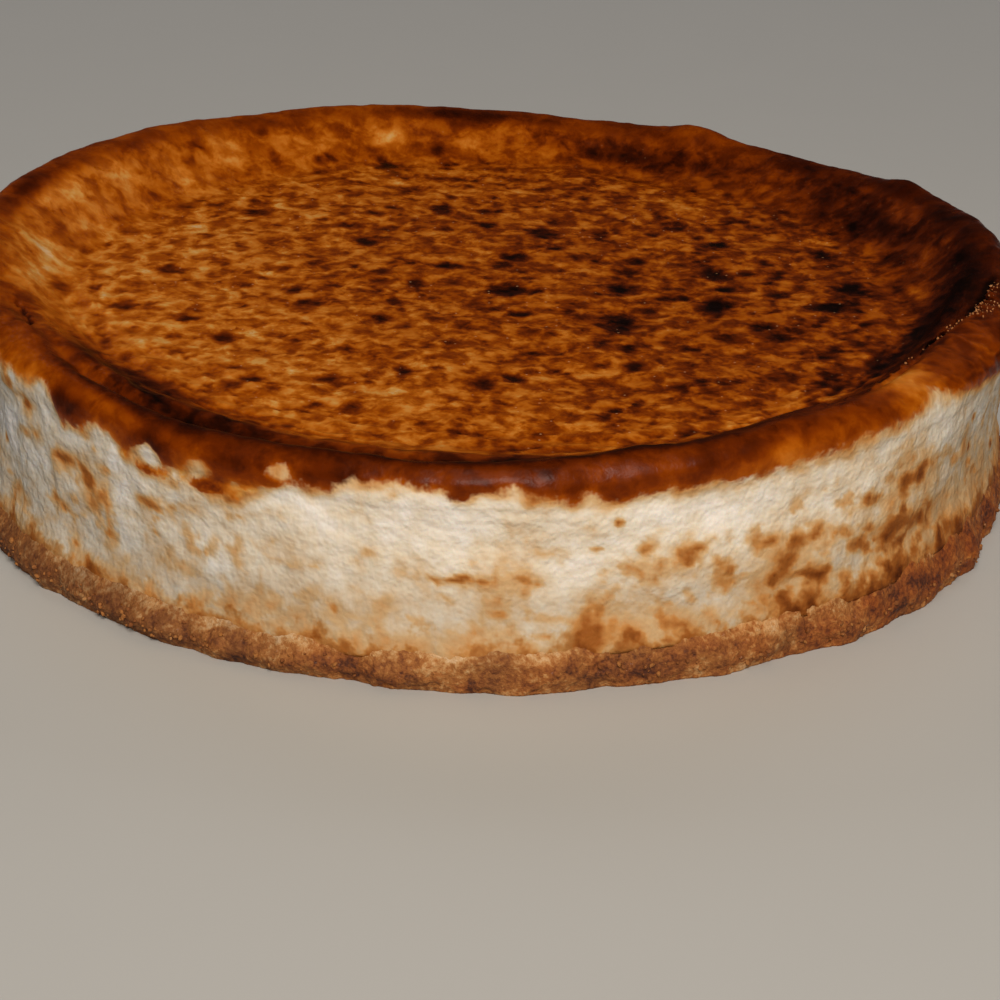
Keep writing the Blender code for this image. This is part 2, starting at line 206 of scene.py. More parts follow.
# Dark blisters on the sunken top: x, y, half width along x, half depth along y, strength
TOP_SPOTS = (
    (-54, 46, 3.8, 3.6, 0.95), (-69.5, 4.5, 3.2, 2.6, 0.80), (-76.5, -19.5, 3.2, 3.6, 1.00),
    (-42.5, -6, 2.2, 2.6, 0.65), (-37.5, -14, 2.8, 3.2, 0.95), (-53.5, -36, 2.8, 2.4, 0.75),
    (-46, -58, 3.2, 2.1, 0.85), (-50, -63, 3, 2.4, 0.80), (-52.5, -15.5, 2, 1.8, 0.45),
    (-44, -45, 2.2, 1.2, 0.55), (-64, -36, 2.6, 1.4, 0.50), (-77, -39, 1.2, 1.8, 0.60),
    (-33.5, -70, 1.9, 1.4, 0.65), (-39.5, -35.5, 1.5, 1.3, 0.50), (-48.5, 1, 1.6, 1.4, 0.50),
    (-12, 52.5, 2.7, 4.6, 0.95), (-33.5, 38.5, 3.2, 2.4, 0.90), (-27.5, 28, 2.9, 3, 0.95),
    (-23.5, 38, 2.6, 2, 0.70), (-0.5, 52, 3.1, 2, 0.70), (-0.5, 41.5, 2.4, 2.6, 0.90),
    (12, 37, 3.7, 4.2, 1.00), (-32.5, 60, 3.4, 1.6, 0.45), (50.5, 32, 4, 3.6, 0.85),
    (50, 11.5, 3.5, 4.2, 0.95), (51, 2, 3.6, 2, 0.80), (39, -3.5, 4.4, 1.8, 0.80), (48, -8.5, 4, 4.4, 1.00),
    (34, -11.5, 2, 2.1, 0.65), (32.5, 19.5, 2.4, 2.4, 0.70), (41, 45, 4.4, 4.2, 0.50),
    (79, 4, 3.4, 5.2, 0.95), (73, -8, 5.2, 2.8, 1.00), (61.5, 1, 2.2, 2.2, 0.70), (63.5, 13, 2.1, 3, 0.75),
    (56.5, -21, 2.9, 2.8, 0.90), (60.5, -26.5, 2, 2.3, 0.85), (48.5, -27.5, 2.1, 2.4, 0.75),
    (42, -34, 1.8, 1.9, 0.70), (42, -51.5, 1.6, 1.8, 0.70), (68, -36, 2.9, 2.6, 0.70),
    (67.5, -19, 4.2, 1.2, 0.60), (72, -32.5, 3.8, 1.4, 0.60), (75, 27.5, 3.6, 4, 0.60),
    (-9.5, 12.5, 4, 1.9, 0.85), (5.5, 19.5, 3.3, 3, 0.90), (4, -2.5, 4.8, 4.4, 1.00),
    (28.5, 1, 4.2, 4.2, 1.00), (27, -21, 4.5, 6.6, 1.10), (-23, -22.5, 3, 2.5, 0.95),
    (-0.5, -57, 3.4, 3.6, 1.00), (5, -53.5, 2.8, 2.7, 0.85), (-16.5, -52.5, 1.9, 3.2, 0.85),
    (-23, -54.5, 2, 2.6, 0.70), (-31.5, -56, 2.3, 2, 0.65), (-7, -65, 1.8, 1.6, 0.75),
    (-32.5, -69.5, 2.2, 1.5, 0.75), (-12.5, -77.5, 1.9, 1.6, 0.60), (-5.5, -81, 2.5, 1.6, 0.60),
    (24.5, -68, 2.4, 1.7, 0.75), (22.5, -32.5, 2.1, 1.7, 0.75), (28.5, -36, 1.8, 2.2, 0.80),
    (23.5, -45.5, 2.6, 1.8, 0.70), (9.5, -39.5, 2.6, 1.4, 0.70), (-11.5, -38, 2.3, 1.7, 0.70),
    (-0.5, -15, 1.9, 1.8, 0.75), (6, -16.5, 2, 2, 0.75), (16.5, -14.5, 1.4, 1.8, 0.65),
    (-16, 0.5, 2.3, 3.2, 0.90), (-20.5, -11, 3, 3.2, 0.55), (-24.5, -5.5, 1.8, 1.8, 0.60),
    (25, 18.5, 2.6, 1.6, 0.65), (30, 12, 3, 1.6, 0.65), (13, -48.5, 1.8, 1.4, 0.60),
    (-25.5, 83.5, 3.8, 3.6, 0.80), (-20, 69, 6.5, 1.2, 0.45), (-8, 76, 6.5, 1.2, 0.45),
    (4, 70, 5, 1.2, 0.40),
)
SMALL_SPOT_COUNT = 420

# Tones of the rim: azimuth, distance out from the floor's edge, half length, half width, change. Most are
# baking; some are painted light, marked below
RIM_TONES = (
    (219, 8, 13, 8, 0.13), (230, 8, 13, 9, 0.13), (240, 11, 13, 8, 0.12), (250, 15, 12, 5, 0.08),
    (95, -25, 60, 18, -0.04), (208, 12, 8, 3, -0.05), (206, 17, 10, 7, 0.13), (227, 28.5, 5, 2.2, 0.15),
    (237, 29, 4, 2.2, 0.16), (247, 28.5, 4, 2, 0.13), (257, 28.5, 5, 2, 0.12), (240, 24.5, 24, 3, 0.04),
    (270, 28.5, 5, 1.8, 0.08), (206, -2, 10, 5, 0.05), (353, 15, 17, 7, 0.24), (340, 8, 12, 5.5, 0.20),
    # Painted shadow under the lip of the back lump at 68 degrees
    (328, 12, 9, 3.5, 0.16), (27, 11, 26, 9, 0.15), (68, 11.5, 17, 2.8, 0.26), (345, 14.5, 15, 5, 0.07),
    (332, 1.5, 13, 3, 0.18), (321, -3.5, 11, 2.2, 0.07), (347, 7.5, 9, 3.5, 0.12), (332, 17.5, 9, 2, 0.14),
    (304, 28.5, 11, 2.2, -0.10), (318, 27.5, 9, 3, -0.05), (295, 29, 6, 1.8, -0.12), (340, 26, 16, 4, -0.04),
    (300, 24.5, 8, 1.8, 0.03), (324, 8, 14, 5, 0.10), (312, 12, 13, 5, 0.12), (331, 22.5, 7, 1.6, 0.04),
    (347, 29, 8, 2, 0.06), (333, 30, 5, 1.8, 0.05), (330, 26, 13, 4, -0.01), (20, 8, 28, 7, 0.07),
    # Painted shadow in the crease behind the front crest at 270 degrees
    (270, 16.8, 52, 3.6, 0.24), (284, 26.5, 7, 2, -0.03), (266, 25.5, 8, 2, -0.04), (255, 27.5, 5, 2, 0.08),
    (225, 21.5, 12, 1.7, 0.22), (238, 22.5, 13, 1.8, 0.24), (247, 19.5, 9, 1.6, 0.16),
    (224, 2.5, 13, 2.4, 0.16), (214, 13, 6, 2, 0.16), (222, 15, 6, 1.8, -0.06), (226, 27, 5, 2, -0.06),
    (218, 26, 4, 2.2, -0.08), (233, 25.5, 5, 1.8, -0.05), (224.5, 28, 4, 2, 0.20),
    (262, 21.5, 16, 2.4, 0.10), (240, 20, 16, 5, 0.05), (284, 21.5, 15, 1.4, 0.08),
    (262, 9.5, 10, 1.6, 0.10), (272, 12, 12, 1.5, 0.08), (94.5, 19, 9, 2.8, 0.22), (161, 13, 5, 3.5, -0.15),
    (151, 11, 5, 3, -0.12), (177, 10.5, 5, 3.5, -0.15), (166, 7.5, 4, 3, -0.12), (166, 20, 10, 2.2, 0.16),
    (188, 11, 6, 2.4, -0.15), (182, 7, 7, 3, -0.12), (176.5, 3, 4, 2, -0.08), (198, 14, 6, 3, 0.05),
    # Painted shadow in the crease behind the front crest at 268 degrees
    (219, 7.5, 17, 4, 0.22), (235, 13, 15, 4, 0.18), (268, 19, 60, 3, 0.13), (227, 23.5, 18, 2.2, -0.05),
    (319, 22.6, 6.5, 3.4, -0.33), (299, 29, 3, 2.2, -0.15), (22.4, 15.8, 4, 2.6, -0.16),
    (19.3, 4, 4, 2.6, -0.16), (26, -4.3, 4, 3, -0.12), (33, 2.5, 3.5, 2.2, -0.10), (53.6, -14, 5, 4, -0.12),
    (0.2, 5.7, 4, 2.4, -0.18), (30.3, 17.5, 5, 3, -0.08), (9, 10, 4, 2.4, -0.10), (44, 7, 5, 2.5, -0.10),
    # Painted highlights on the lit back slope, from 84 to 106 degrees, and on the lit top of the back lump at
    # 62 degrees
    (105.8, 11, 4, 3, -0.15), (102.3, 2.1, 3, 2, -0.12), (92, 9, 5, 3, -0.12), (84.6, 5.6, 4, 2.5, -0.10),
    (87.4, 15.4, 3, 2.5, -0.10), (62, 21.5, 7, 2.6, -0.14), (118, 9, 6, 3, -0.10), (131, 12, 5, 3, -0.12),
    (140, 7, 5, 3, -0.10), (124, 17, 7, 2.4, 0.10), (145, 17, 8, 2.4, 0.08), (111, 6, 5, 2, 0.10),
    (78, 4, 6, 2, 0.08), (45, 18, 8, 3, 0.10), (12, 19, 9, 3, 0.10),
)

# Cracks in the rim: path as azimuth and distance out, then depth, half width and drop of the inside
CRACKS = (
    (((308.0, 18.6), (315.0, 17.6), (322.0, 17.0), (328.0, 17.6), (334.0, 19.4), (340.0, 21.0), (346.0, 22.3),
      (352.5, 23.0)), 2.8, 1.3, 1.2),
    (((198.0, 16.4), (203.0, 15.6), (207.0, 17.2), (212.0, 20.0)), 0.9, 0.7, 0.1),
    (((216.0, 8.0), (222.0, 9.5), (230.0, 12.5), (238.0, 16.8), (246.0, 19.4)), 0.5, 1.6, 0.3),
)

# Crumbs outside the right crack: azimuth, half spread in degrees, nearest and furthest in mm, count
LIP_CRUMBS = (
    (342.5, 2.6, 0.3, 3.2, 190), (338.5, 2.6, 0.2, 2.2, 110), (335, 2.4, 0.2, 1.4, 34),
    (348.5, 3, 0.3, 2, 34), (328, 4, 0.2, 1.2, 16), (341, 4, -1.8, 0.2, 30), (322, 4, 0.2, 1, 8),
)
BISCUIT_BIT_COUNT = 460

# Wrinkles counted once round the cake
RING_WRINKLES = 34
ROLL_WRINKLES = 150
SIDE_WRINKLES = 300

# How far the middle of the top browned, and how much more each metre to the right and to the back
FLOOR_BAKE = 0.530
BAKE_TO_RIGHT = 0.95
BAKE_TO_BACK = 0.16

# Browning round the cake: azimuth, half width in degrees, amount
ROLL_BROWNING = ((228.0, 17.0, 0.04), (165.0, 18.0, 0.08), (268.0, 16.0, 0.06), (318.0, 18.0, -0.02))
SIDE_WASH = ((311.0, 17.0, 0.17), (227.0, 14.0, 0.06), (284.0, 9.0, 0.03))
SMEARED_BASE = ((300.0, 16.0, 0.55), (262.0, 20.0, 0.40), (230.0, 14.0, 0.25))

# Rings of the base above and below its side: share of the points round, distance in from the side in mm
BASE_TOP_RINGS = ((64, 60.0), (32, 30.0), (16, 12.0), (8, 5.0), (4, 2.4), (2, 1.0))
BASE_FOOT_RINGS = ((2, 0.8), (4, 2.0), (8, 4.5), (16, 10.0), (32, 30.0), (64, 60.0))

# Rings of the sunken top: up to which share of its radius, share of the points round
FLOOR_RINGS = ((0.12, 16), (0.23, 8), (0.46, 4), (1.0, 2))

# Rings under the filling: share of the points round, distance in from the side in mm
FOOT_RINGS = ((2, 2.0), (4, 5.0), (8, 10.0), (16, 20.0))

# Kinds of shader node that are used often
MATH = "ShaderNodeMath"
RANGE = "ShaderNodeMapRange"
NOISE = "ShaderNodeTexNoise"
CELLS = "ShaderNodeTexVoronoi"
ATTRIBUTE = "ShaderNodeAttribute"

# Blisters of the browned skin: spacing in mm and how much darker their middle is
BLISTERS = ((7.4, 0.17), (4.6, 0.20), (2.6, 0.13))

# Noises of the filling: width in mm, detail, roughness, distortion
FILLING_NOISES = {
    "blotch": (9.0, 3.0, 0.6, 0.4),
    "fleck": (2.1, 2.0, 0.6, 0.0),
    "island": (4.6, 3.0, 0.6, 0.3),
    "bend": (4.5, 1.0, 0.6, 0.0),
    "cloud": (12.0, 3.0, 0.6, 0.0),
    "caught": (5.0, 3.0, 0.6, 0.0),
    "ragged": (2.4, 2.0, 0.65, 0.0),
    "grain": (0.9, 1.0, 0.6, 0.0),
    "crumple": (2.2, 2.0, 0.55, 0.6),
    "curd": (1.8, 1.0, 0.5, 0.0),
}

# Softboxes: name, azimuth, elevation, distance, width, watts, colour, whether gloss mirrors it
# The two behind only fill, so that the dark rim doesn't mirror them
SOFTBOXES = (
    ("key_softbox", -85.0, 40.0, 1.4, 0.55, 17.0, "#FFF8EF", True),
    ("top_softbox", -95.0, 70.0, 1.6, 0.36, 1.8, "#FFF4E6", True),
    ("side_softbox", 120.0, 34.0, 1.8, 0.7, 4.4, "#F4F7FF", False),
    ("far_softbox", 60.0, 34.0, 1.8, 0.7, 4.0, "#F4F7FF", False),
)
LIGHTS_AIM = (0.0, 0.0, 0.03)
AIR_COLOUR = "#DDE1E6"
AIR_STRENGTH = 0.035
CAMERA_PLACE = (0.0, -0.5164, 0.2221)
CAMERA_YAW, CAMERA_PITCH, CAMERA_ROLL = 0.42, 24.51, 1.92


def linear(code):
    """Turn an sRGB hex colour into linear red, green, blue and full alpha."""
    parts = [int(code[i:i + 2], 16) / 255.0 for i in (1, 3, 5)]
    return (*[c / 12.92 if c <= 0.04045 else ((c + 0.055) / 1.055) ** 2.4 for c in parts], 1.0)


def smooth_step(low, high, value):
    """Ease from 0 at low to 1 at high."""
    t = np.clip((value - low) / (high - low), 0.0, 1.0)
    return t * t * (3.0 - 2.0 * t)


def azimuth_gap(azimuth, other):
    """Signed difference of two azimuths, in degrees from -180 to 180."""
    return (azimuth - other + 180.0) % 360.0 - 180.0


def bell(offset, half_width):
    """A hill of height 1 that is half as high at about half_width."""
    return np.exp(-0.7 * (offset / half_width) ** 2)


def waves(azimuth, terms):
    """Sum of cosines round the cake."""
    return sum(height * np.cos(np.radians(count * (azimuth - top))) for count, height, top in terms)


def swells(azimuth, terms):
    """Sum of hills round the cake."""
    return sum(height * bell(azimuth_gap(azimuth, top), width) for top, width, height in terms)


def frame_noise(points):
    """The solid's own noise, point by point."""
    return np.array([noise.noise(Vector(point)) for point in points])


def lattice_noise(points, size, seed, wrap=None):
    """Gradient noise of about -1 to 1 with features of one size, or one size an axis.

    With wrap the first axis counts whole cells, and joins up after that many.
    """
    cells = points / np.asarray(size)
    corner = np.floor(cells).astype(np.int64)
    inside = cells - corner
    fade = inside ** 3 * (inside * (inside * 6.0 - 15.0) + 10.0)
    draw = np.random.default_rng(seed)
    gradients = draw.normal(size=(512, 3))
    gradients /= np.linalg.norm(gradients, axis=1)[:, None]
    shuffle = draw.permutation(512)
    total = np.zeros(len(points))
    for offset in itertools.product((0, 1), repeat=3):
        index = corner + offset
        first = index[:, 0] % wrap if wrap else index[:, 0]
        key = shuffle[first & 511]
        key = shuffle[(key + index[:, 1]) & 511]
        key = shuffle[(key + index[:, 2]) & 511]
        weight = np.prod(np.where(np.array(offset) == 1, fade, 1.0 - fade), axis=1)
        total += weight * np.einsum("ij,ij->i", gradients[key], inside - offset)
    return 1.6 * total


def layered_noise(points, size, seed, layers=3):
    """Gradient noise with finer layers added, each half the size and about half the height."""
    size = np.asarray(size)
    total = sum(0.5 ** i * lattice_noise(points, size * 0.5 ** i, seed + i) for i in range(layers))
    return total / (2.0 - 0.5 ** (layers - 1))


def scattered_cells(points, size, seed):
    """Distances to the two nearest scattered seeds, in cells, with the nearest one's random tone."""
    cells = points / size
    corner = np.floor(cells).astype(np.int64)
    jitter = np.random.default_rng(seed).random((1024, 4))
    first = np.full(len(points), 9.0)
    second = np.full(len(points), 9.0)
    tone = np.zeros(len(points))
    for offset in itertools.product((-1, 0, 1), repeat=3):
        index = corner + offset
        key = (index[:, 0] * 73 + index[:, 1] * 179 + index[:, 2] * 283) & 1023
        gap = np.linalg.norm(index + jitter[key, :3] - cells, axis=1)
        tone = np.where(gap < first, jitter[key, 3], tone)
        second = np.minimum(second, np.maximum(gap, first))
        first = np.minimum(first, gap)
    return first, second, tone


def pebbles(points, size, seed):
    """Distance to the nearest scattered seed, in cells, with that seed's random tone."""
    first, second, tone = scattered_cells(points, size, seed)
    return first, tone


def cell_edges(points, size, seed):
    """Distance from the border between scattered cells, in cells, with the cell's random tone."""
    first, second, tone = scattered_cells(points, size, seed)
    return second - first, tone


def warp_vectors(points, size, seed):
    """Three noises at once, to bend a pattern by."""
    return np.stack([layered_noise(points, size, seed + 11 * axis, 2) for axis in range(3)], axis=1)


def turned_points(azimuth, radius, height):
    """Points at the given azimuths, radii and heights."""
    angle = np.radians(azimuth)
    return np.stack([radius * np.cos(angle), radius * np.sin(angle), height], axis=1)


def layer_height(azimuth, radius):
    """Height of the top of the base, flat inside and uneven towards the side."""
    outer = smooth_step(LAYER_BLEND_RADIUS, WALL_RADIUS, radius)
    return BASE_THICKNESS + outer * swells(azimuth, LAYER_RISES)


def edge_drift(azimuth, radius, height):
    """How far the side stands out or in."""
    spots = turned_points(azimuth, radius, height) / np.array(WALL_WAVE_SIZE)
    drift = WALL_WAVE * frame_noise(spots) + waves(azimuth, RIM_DRIFT)
    return drift * smooth_step(FLOOR_RADIUS, CREST_RADIUS, radius)


def rim_relief(azimuth, radius):
    """Rise of the lumps and folds of the browned rim."""
    rise = np.zeros(len(azimuth))
    for middle, lump_radius, height, along, across in RIM_LUMPS:
        arc = np.radians(azimuth_gap(azimuth, middle)) * lump_radius
        rise += height * bell(arc, along) * bell(radius / MM - lump_radius, across)
    for middle, half_length, fold_radius, height, across in RIM_FOLDS:
        fold = bell(azimuth_gap(azimuth, middle), half_length)
        rise += height * fold * bell(radius / MM - fold_radius, across)
    return rise * MM


class RingSurface:
    """A closed surface of rings round Z, from the top's centre out, down the side and in again underneath.

    Each ring is (radius, height, points), with as many points as its neighbour, half as many or twice.
    """

    def __init__(self, name, rings):
        self.radius = np.concatenate([np.full(count, r) for r, z, count in rings])
        self.height = np.concatenate([np.full(count, z) for r, z, count in rings])
        self.turn = np.concatenate([np.arange(count) / count for r, z, count in rings])
        self.azimuth = 360.0 * self.turn
        steps = [math.hypot(b[0] - a[0], b[1] - a[1]) for a, b in zip(rings, rings[1:])]
        reach = np.concatenate([[0.0], np.cumsum(steps)])
        self.along = np.concatenate([np.full(count, s) for s, (r, z, count) in zip(reach, rings)])
        self.mesh = bpy.data.meshes.new(name)
        faces = self.faces([count for r, z, count in rings])
        self.mesh.from_pydata(turned_points(self.azimuth, self.radius, self.height), [], faces)
        self.mesh.update()

    @staticmethod
    def faces(counts):
        """Faces between neighbouring rings, facing out."""
        found, start = [], 0
        for count, following in zip(counts, counts[1:]):
            a, b = start, start + count
            if count == following:
                found += [(a + i, b + i, b + (i + 1) % count, a + (i + 1) % count) for i in range(count)]
            elif count == 1:
                found += [(a, b + i, b + (i + 1) % following) for i in range(following)]
            elif following == 1:
                found += [(a + i, b, a + (i + 1) % count) for i in range(count)]
            elif following == 2 * count:
                for i in range(count):
                    left, middle, right = b + 2 * i, b + 2 * i + 1, b + (2 * i + 2) % following
                    here, further = a + i, a + (i + 1) % count
                    found += [(here, left, middle), (here, middle, further), (further, middle, right)]
            else:
                for i in range(following):
                    left, middle, right = a + 2 * i, a + 2 * i + 1, a + (2 * i + 2) % count
                    here, further = b + i, b + (i + 1) % following
                    found += [(left, here, middle), (middle, here, further), (middle, further, right)]
            start += count
        return found

    def place(self, points):
        """Move every vertex."""
        self.points = points
        self.mesh.vertices.foreach_set("co", points.ravel())
        self.mesh.update()

    def normals(self):
        """Outward direction at every vertex."""
        values = np.empty(3 * len(self.radius), dtype=np.float32)
        self.mesh.vertex_normals.foreach_get("vector", values)
        return values.reshape(-1, 3).astype(float)

    def store(self, name, values):
        """Keep one number a vertex for the material to read."""
        layer = self.mesh.attributes.new(name, "FLOAT", "POINT")
        layer.data.foreach_set("value", values.astype(np.float32))


def filling_rings(settings):
    """Rings of the filling: coarse under the middle of the top, fine on the rim and the side."""
    full = settings.points_round
    rings = [(0.0, FLOOR_HEIGHT, 1)]
    radius, step = 0.0, settings.floor_spacing
    while radius < FLOOR_RADIUS - 1.5 * step:
        radius += step
        divide = next(divide for limit, divide in FLOOR_RINGS if radius < limit * FLOOR_RADIUS)
        rings.append((radius, FLOOR_HEIGHT, full // divide))
    steps = settings.slope_rings
    for i in range(steps):
        share = i / steps
        radius = FLOOR_RADIUS + (CREST_RADIUS - FLOOR_RADIUS) * share
        climb = float(smooth_step(0.0, 1.0, share))
        rings.append((radius, FLOOR_HEIGHT + (CREST_HEIGHT - FLOOR_HEIGHT) * climb, full))
    steps = settings.roll_rings
    for i in range(steps):
        turn = math.pi / 2 + (ROLL_TUCK - math.pi / 2) * i / (steps - 1)
        height = CREST_HEIGHT - ROLL_DROP + ROLL_DROP * math.sin(turn)
        rings.append((CREST_RADIUS + ROLL_WIDTH * math.cos(turn), height, full))
    tuck_radius, tuck_height = rings[-1][:2]
    foot = BASE_THICKNESS - settings.foot_sink
    steps = settings.wall_rings
    for i in range(1, steps + 1):
        share = i / steps
        radius = WALL_RADIUS + (tuck_radius - WALL_RADIUS) * (1.0 - float(smooth_step(0.0, 0.4, share)))
        rings.append((radius, tuck_height + (foot - tuck_height) * share, full))
    for divide, inset in FOOT_RINGS:
        rings.append((WALL_RADIUS - inset * MM, foot, full // divide))
    rings.append((0.0, foot, 1))
    return rings


def form_filling(surface, foot):
    """Give the turned filling its swaying rim, lumps, folds and uneven wall."""
    azimuth, radius, height = surface.azimuth, surface.radius, surface.height
    new_radius = radius + edge_drift(azimuth, radius, height)
    inner = smooth_step(FLOOR_RADIUS, CREST_RADIUS, radius)
    hold = inner - smooth_step(CREST_RADIUS, CREST_RADIUS + ROLL_WIDTH, radius)
    new_radius -= smooth_step(PULL_FOOT, PULL_TOP, height) * hold * swells(azimuth, CREST_PULLS)
    dished = (radius < CREST_RADIUS) & (height > SWAY_FOOT)
    lift = np.where(dished, inner, smooth_step(SWAY_FOOT, SWAY_TOP, height))
    settle = 1.0 - smooth_step(foot, SWAY_FOOT, height)
    new_height = height + settle * (layer_height(azimuth, radius) - BASE_THICKNESS)
    new_height += lift * (waves(azimuth, RIM_SWAY) + swells(azimuth, RIM_DIPS))
    flat = turned_points(azimuth, radius, np.zeros(len(radius))) / FLOOR_WAVE_SIZE
    top = smooth_step(SWAY_FOOT, FLOOR_HEIGHT, height)
    new_height += top * (rim_relief(azimuth, radius) + FLOOR_WAVE * frame_noise(flat))
    flare = 1.0 - smooth_step(foot, foot + FOOT_FLARE_HEIGHT, height)
    new_radius += FOOT_FLARE * flare * (radius > WALL_RADIUS - 1.0 * MM)
    surface.place(turned_points(azimuth, new_radius, new_height))


def skin_edge_height(azimuth):
    """Lower edge of the browned skin, in metres."""
    marks = np.array(SKIN_EDGE)
    round_marks = np.concatenate([marks[-1:] - [360.0, 0.0], marks, marks[:1] + [360.0, 0.0]])
    return MM * np.interp(azimuth % 360.0, round_marks[:, 0], round_marks[:, 1])


def side_patches(azimuth, height, patches):
    """Sum of soft patches on the side, given in degrees and millimetres."""
    total = np.zeros(len(azimuth))
    for middle, level, half_width, half_height, strength in patches:
        arc = np.radians(azimuth_gap(azimuth, middle)) * WALL_RADIUS
        near = np.abs(arc) < 4.0 * half_width * MM
        across = bell(arc[near], half_width * MM)
        total[near] += strength * across * bell(height[near] - level * MM, half_height * MM)
    return total


def hidden_stains():
    """Patches like the seen ones for the sides and back."""
    draw = np.random.default_rng(31)
    azimuths = draw.uniform(*HIDDEN_SIDE, HIDDEN_STAIN_COUNT) % 360.0
    levels = 10.0 + 26.0 * draw.random(HIDDEN_STAIN_COUNT) ** 1.5
    widths = draw.uniform(1.1, 3.4, HIDDEN_STAIN_COUNT)
    heights = draw.uniform(0.9, 2.4, HIDDEN_STAIN_COUNT)
    strengths = draw.uniform(0.26, 0.68, HIDDEN_STAIN_COUNT)
    return list(zip(azimuths, levels, widths, heights, strengths))


def crack_fall(azimuth, out, warp):
    """Depth of the cracks, in millimetres, with the sunken skin inside them."""
    fall = np.zeros(len(azimuth))
    sunken = np.zeros(len(azimuth))
    for path, depth, half_width, drop in CRACKS:
        marks = np.array(path)
        middle = np.interp(azimuth, marks[:, 0], marks[:, 1]) + 1.7 * warp
        ends = smooth_step(marks[0, 0] - 1.0, marks[0, 0] + 4.0, azimuth)
        ends *= 1.0 - smooth_step(marks[-1, 0] - 4.0, marks[-1, 0] + 1.0, azimuth)
        gap = out - middle
        fall += ends * depth * np.clip(1.0 - np.abs(gap) / half_width, 0.0, 1.0) ** 0.7
        sunken += ends * drop * (1.0 - smooth_step(-0.6, 0.3, gap)) * smooth_step(-9.0, -1.0, gap)
    return fall, sunken


def top_spots(flat, seed):
    """Dark blisters: the big ones where the photograph has them, and a scatter of small ones."""
    draw = np.random.default_rng(seed)
    radii = 94.0 * np.sqrt(draw.random(SMALL_SPOT_COUNT))
    turns = draw.uniform(0.0, 2.0 * math.pi, SMALL_SPOT_COUNT)
    widths = draw.uniform(0.8, 2.2, SMALL_SPOT_COUNT)
    depths = widths * draw.uniform(0.7, 1.3, SMALL_SPOT_COUNT)
    strengths = draw.uniform(0.15, 0.60, SMALL_SPOT_COUNT)
    small = zip(radii * np.cos(turns), radii * np.sin(turns), widths, depths, strengths)
    bent = flat / MM + 1.1 * warp_vectors(flat, 3.4 * MM, seed + 1)
    total = np.zeros(len(flat))
    for x, y, half_width, half_depth, strength in (*TOP_SPOTS, *small):
        near = (np.abs(bent[:, 0] - x) < 2.0 * half_width) & (np.abs(bent[:, 1] - y) < 2.0 * half_depth)
        gap = np.hypot((bent[near, 0] - x) / half_width, (bent[near, 1] - y) / half_depth)
        total[near] = np.maximum(total[near], strength * (1.0 - smooth_step(0.25, 1.45, gap)))
    return total


def crest_lines(values, sharpness):
    """Turn a noise into thin raised lines where it passes zero."""
    return np.clip(1.0 - sharpness * np.abs(values), 0.0, 1.0)


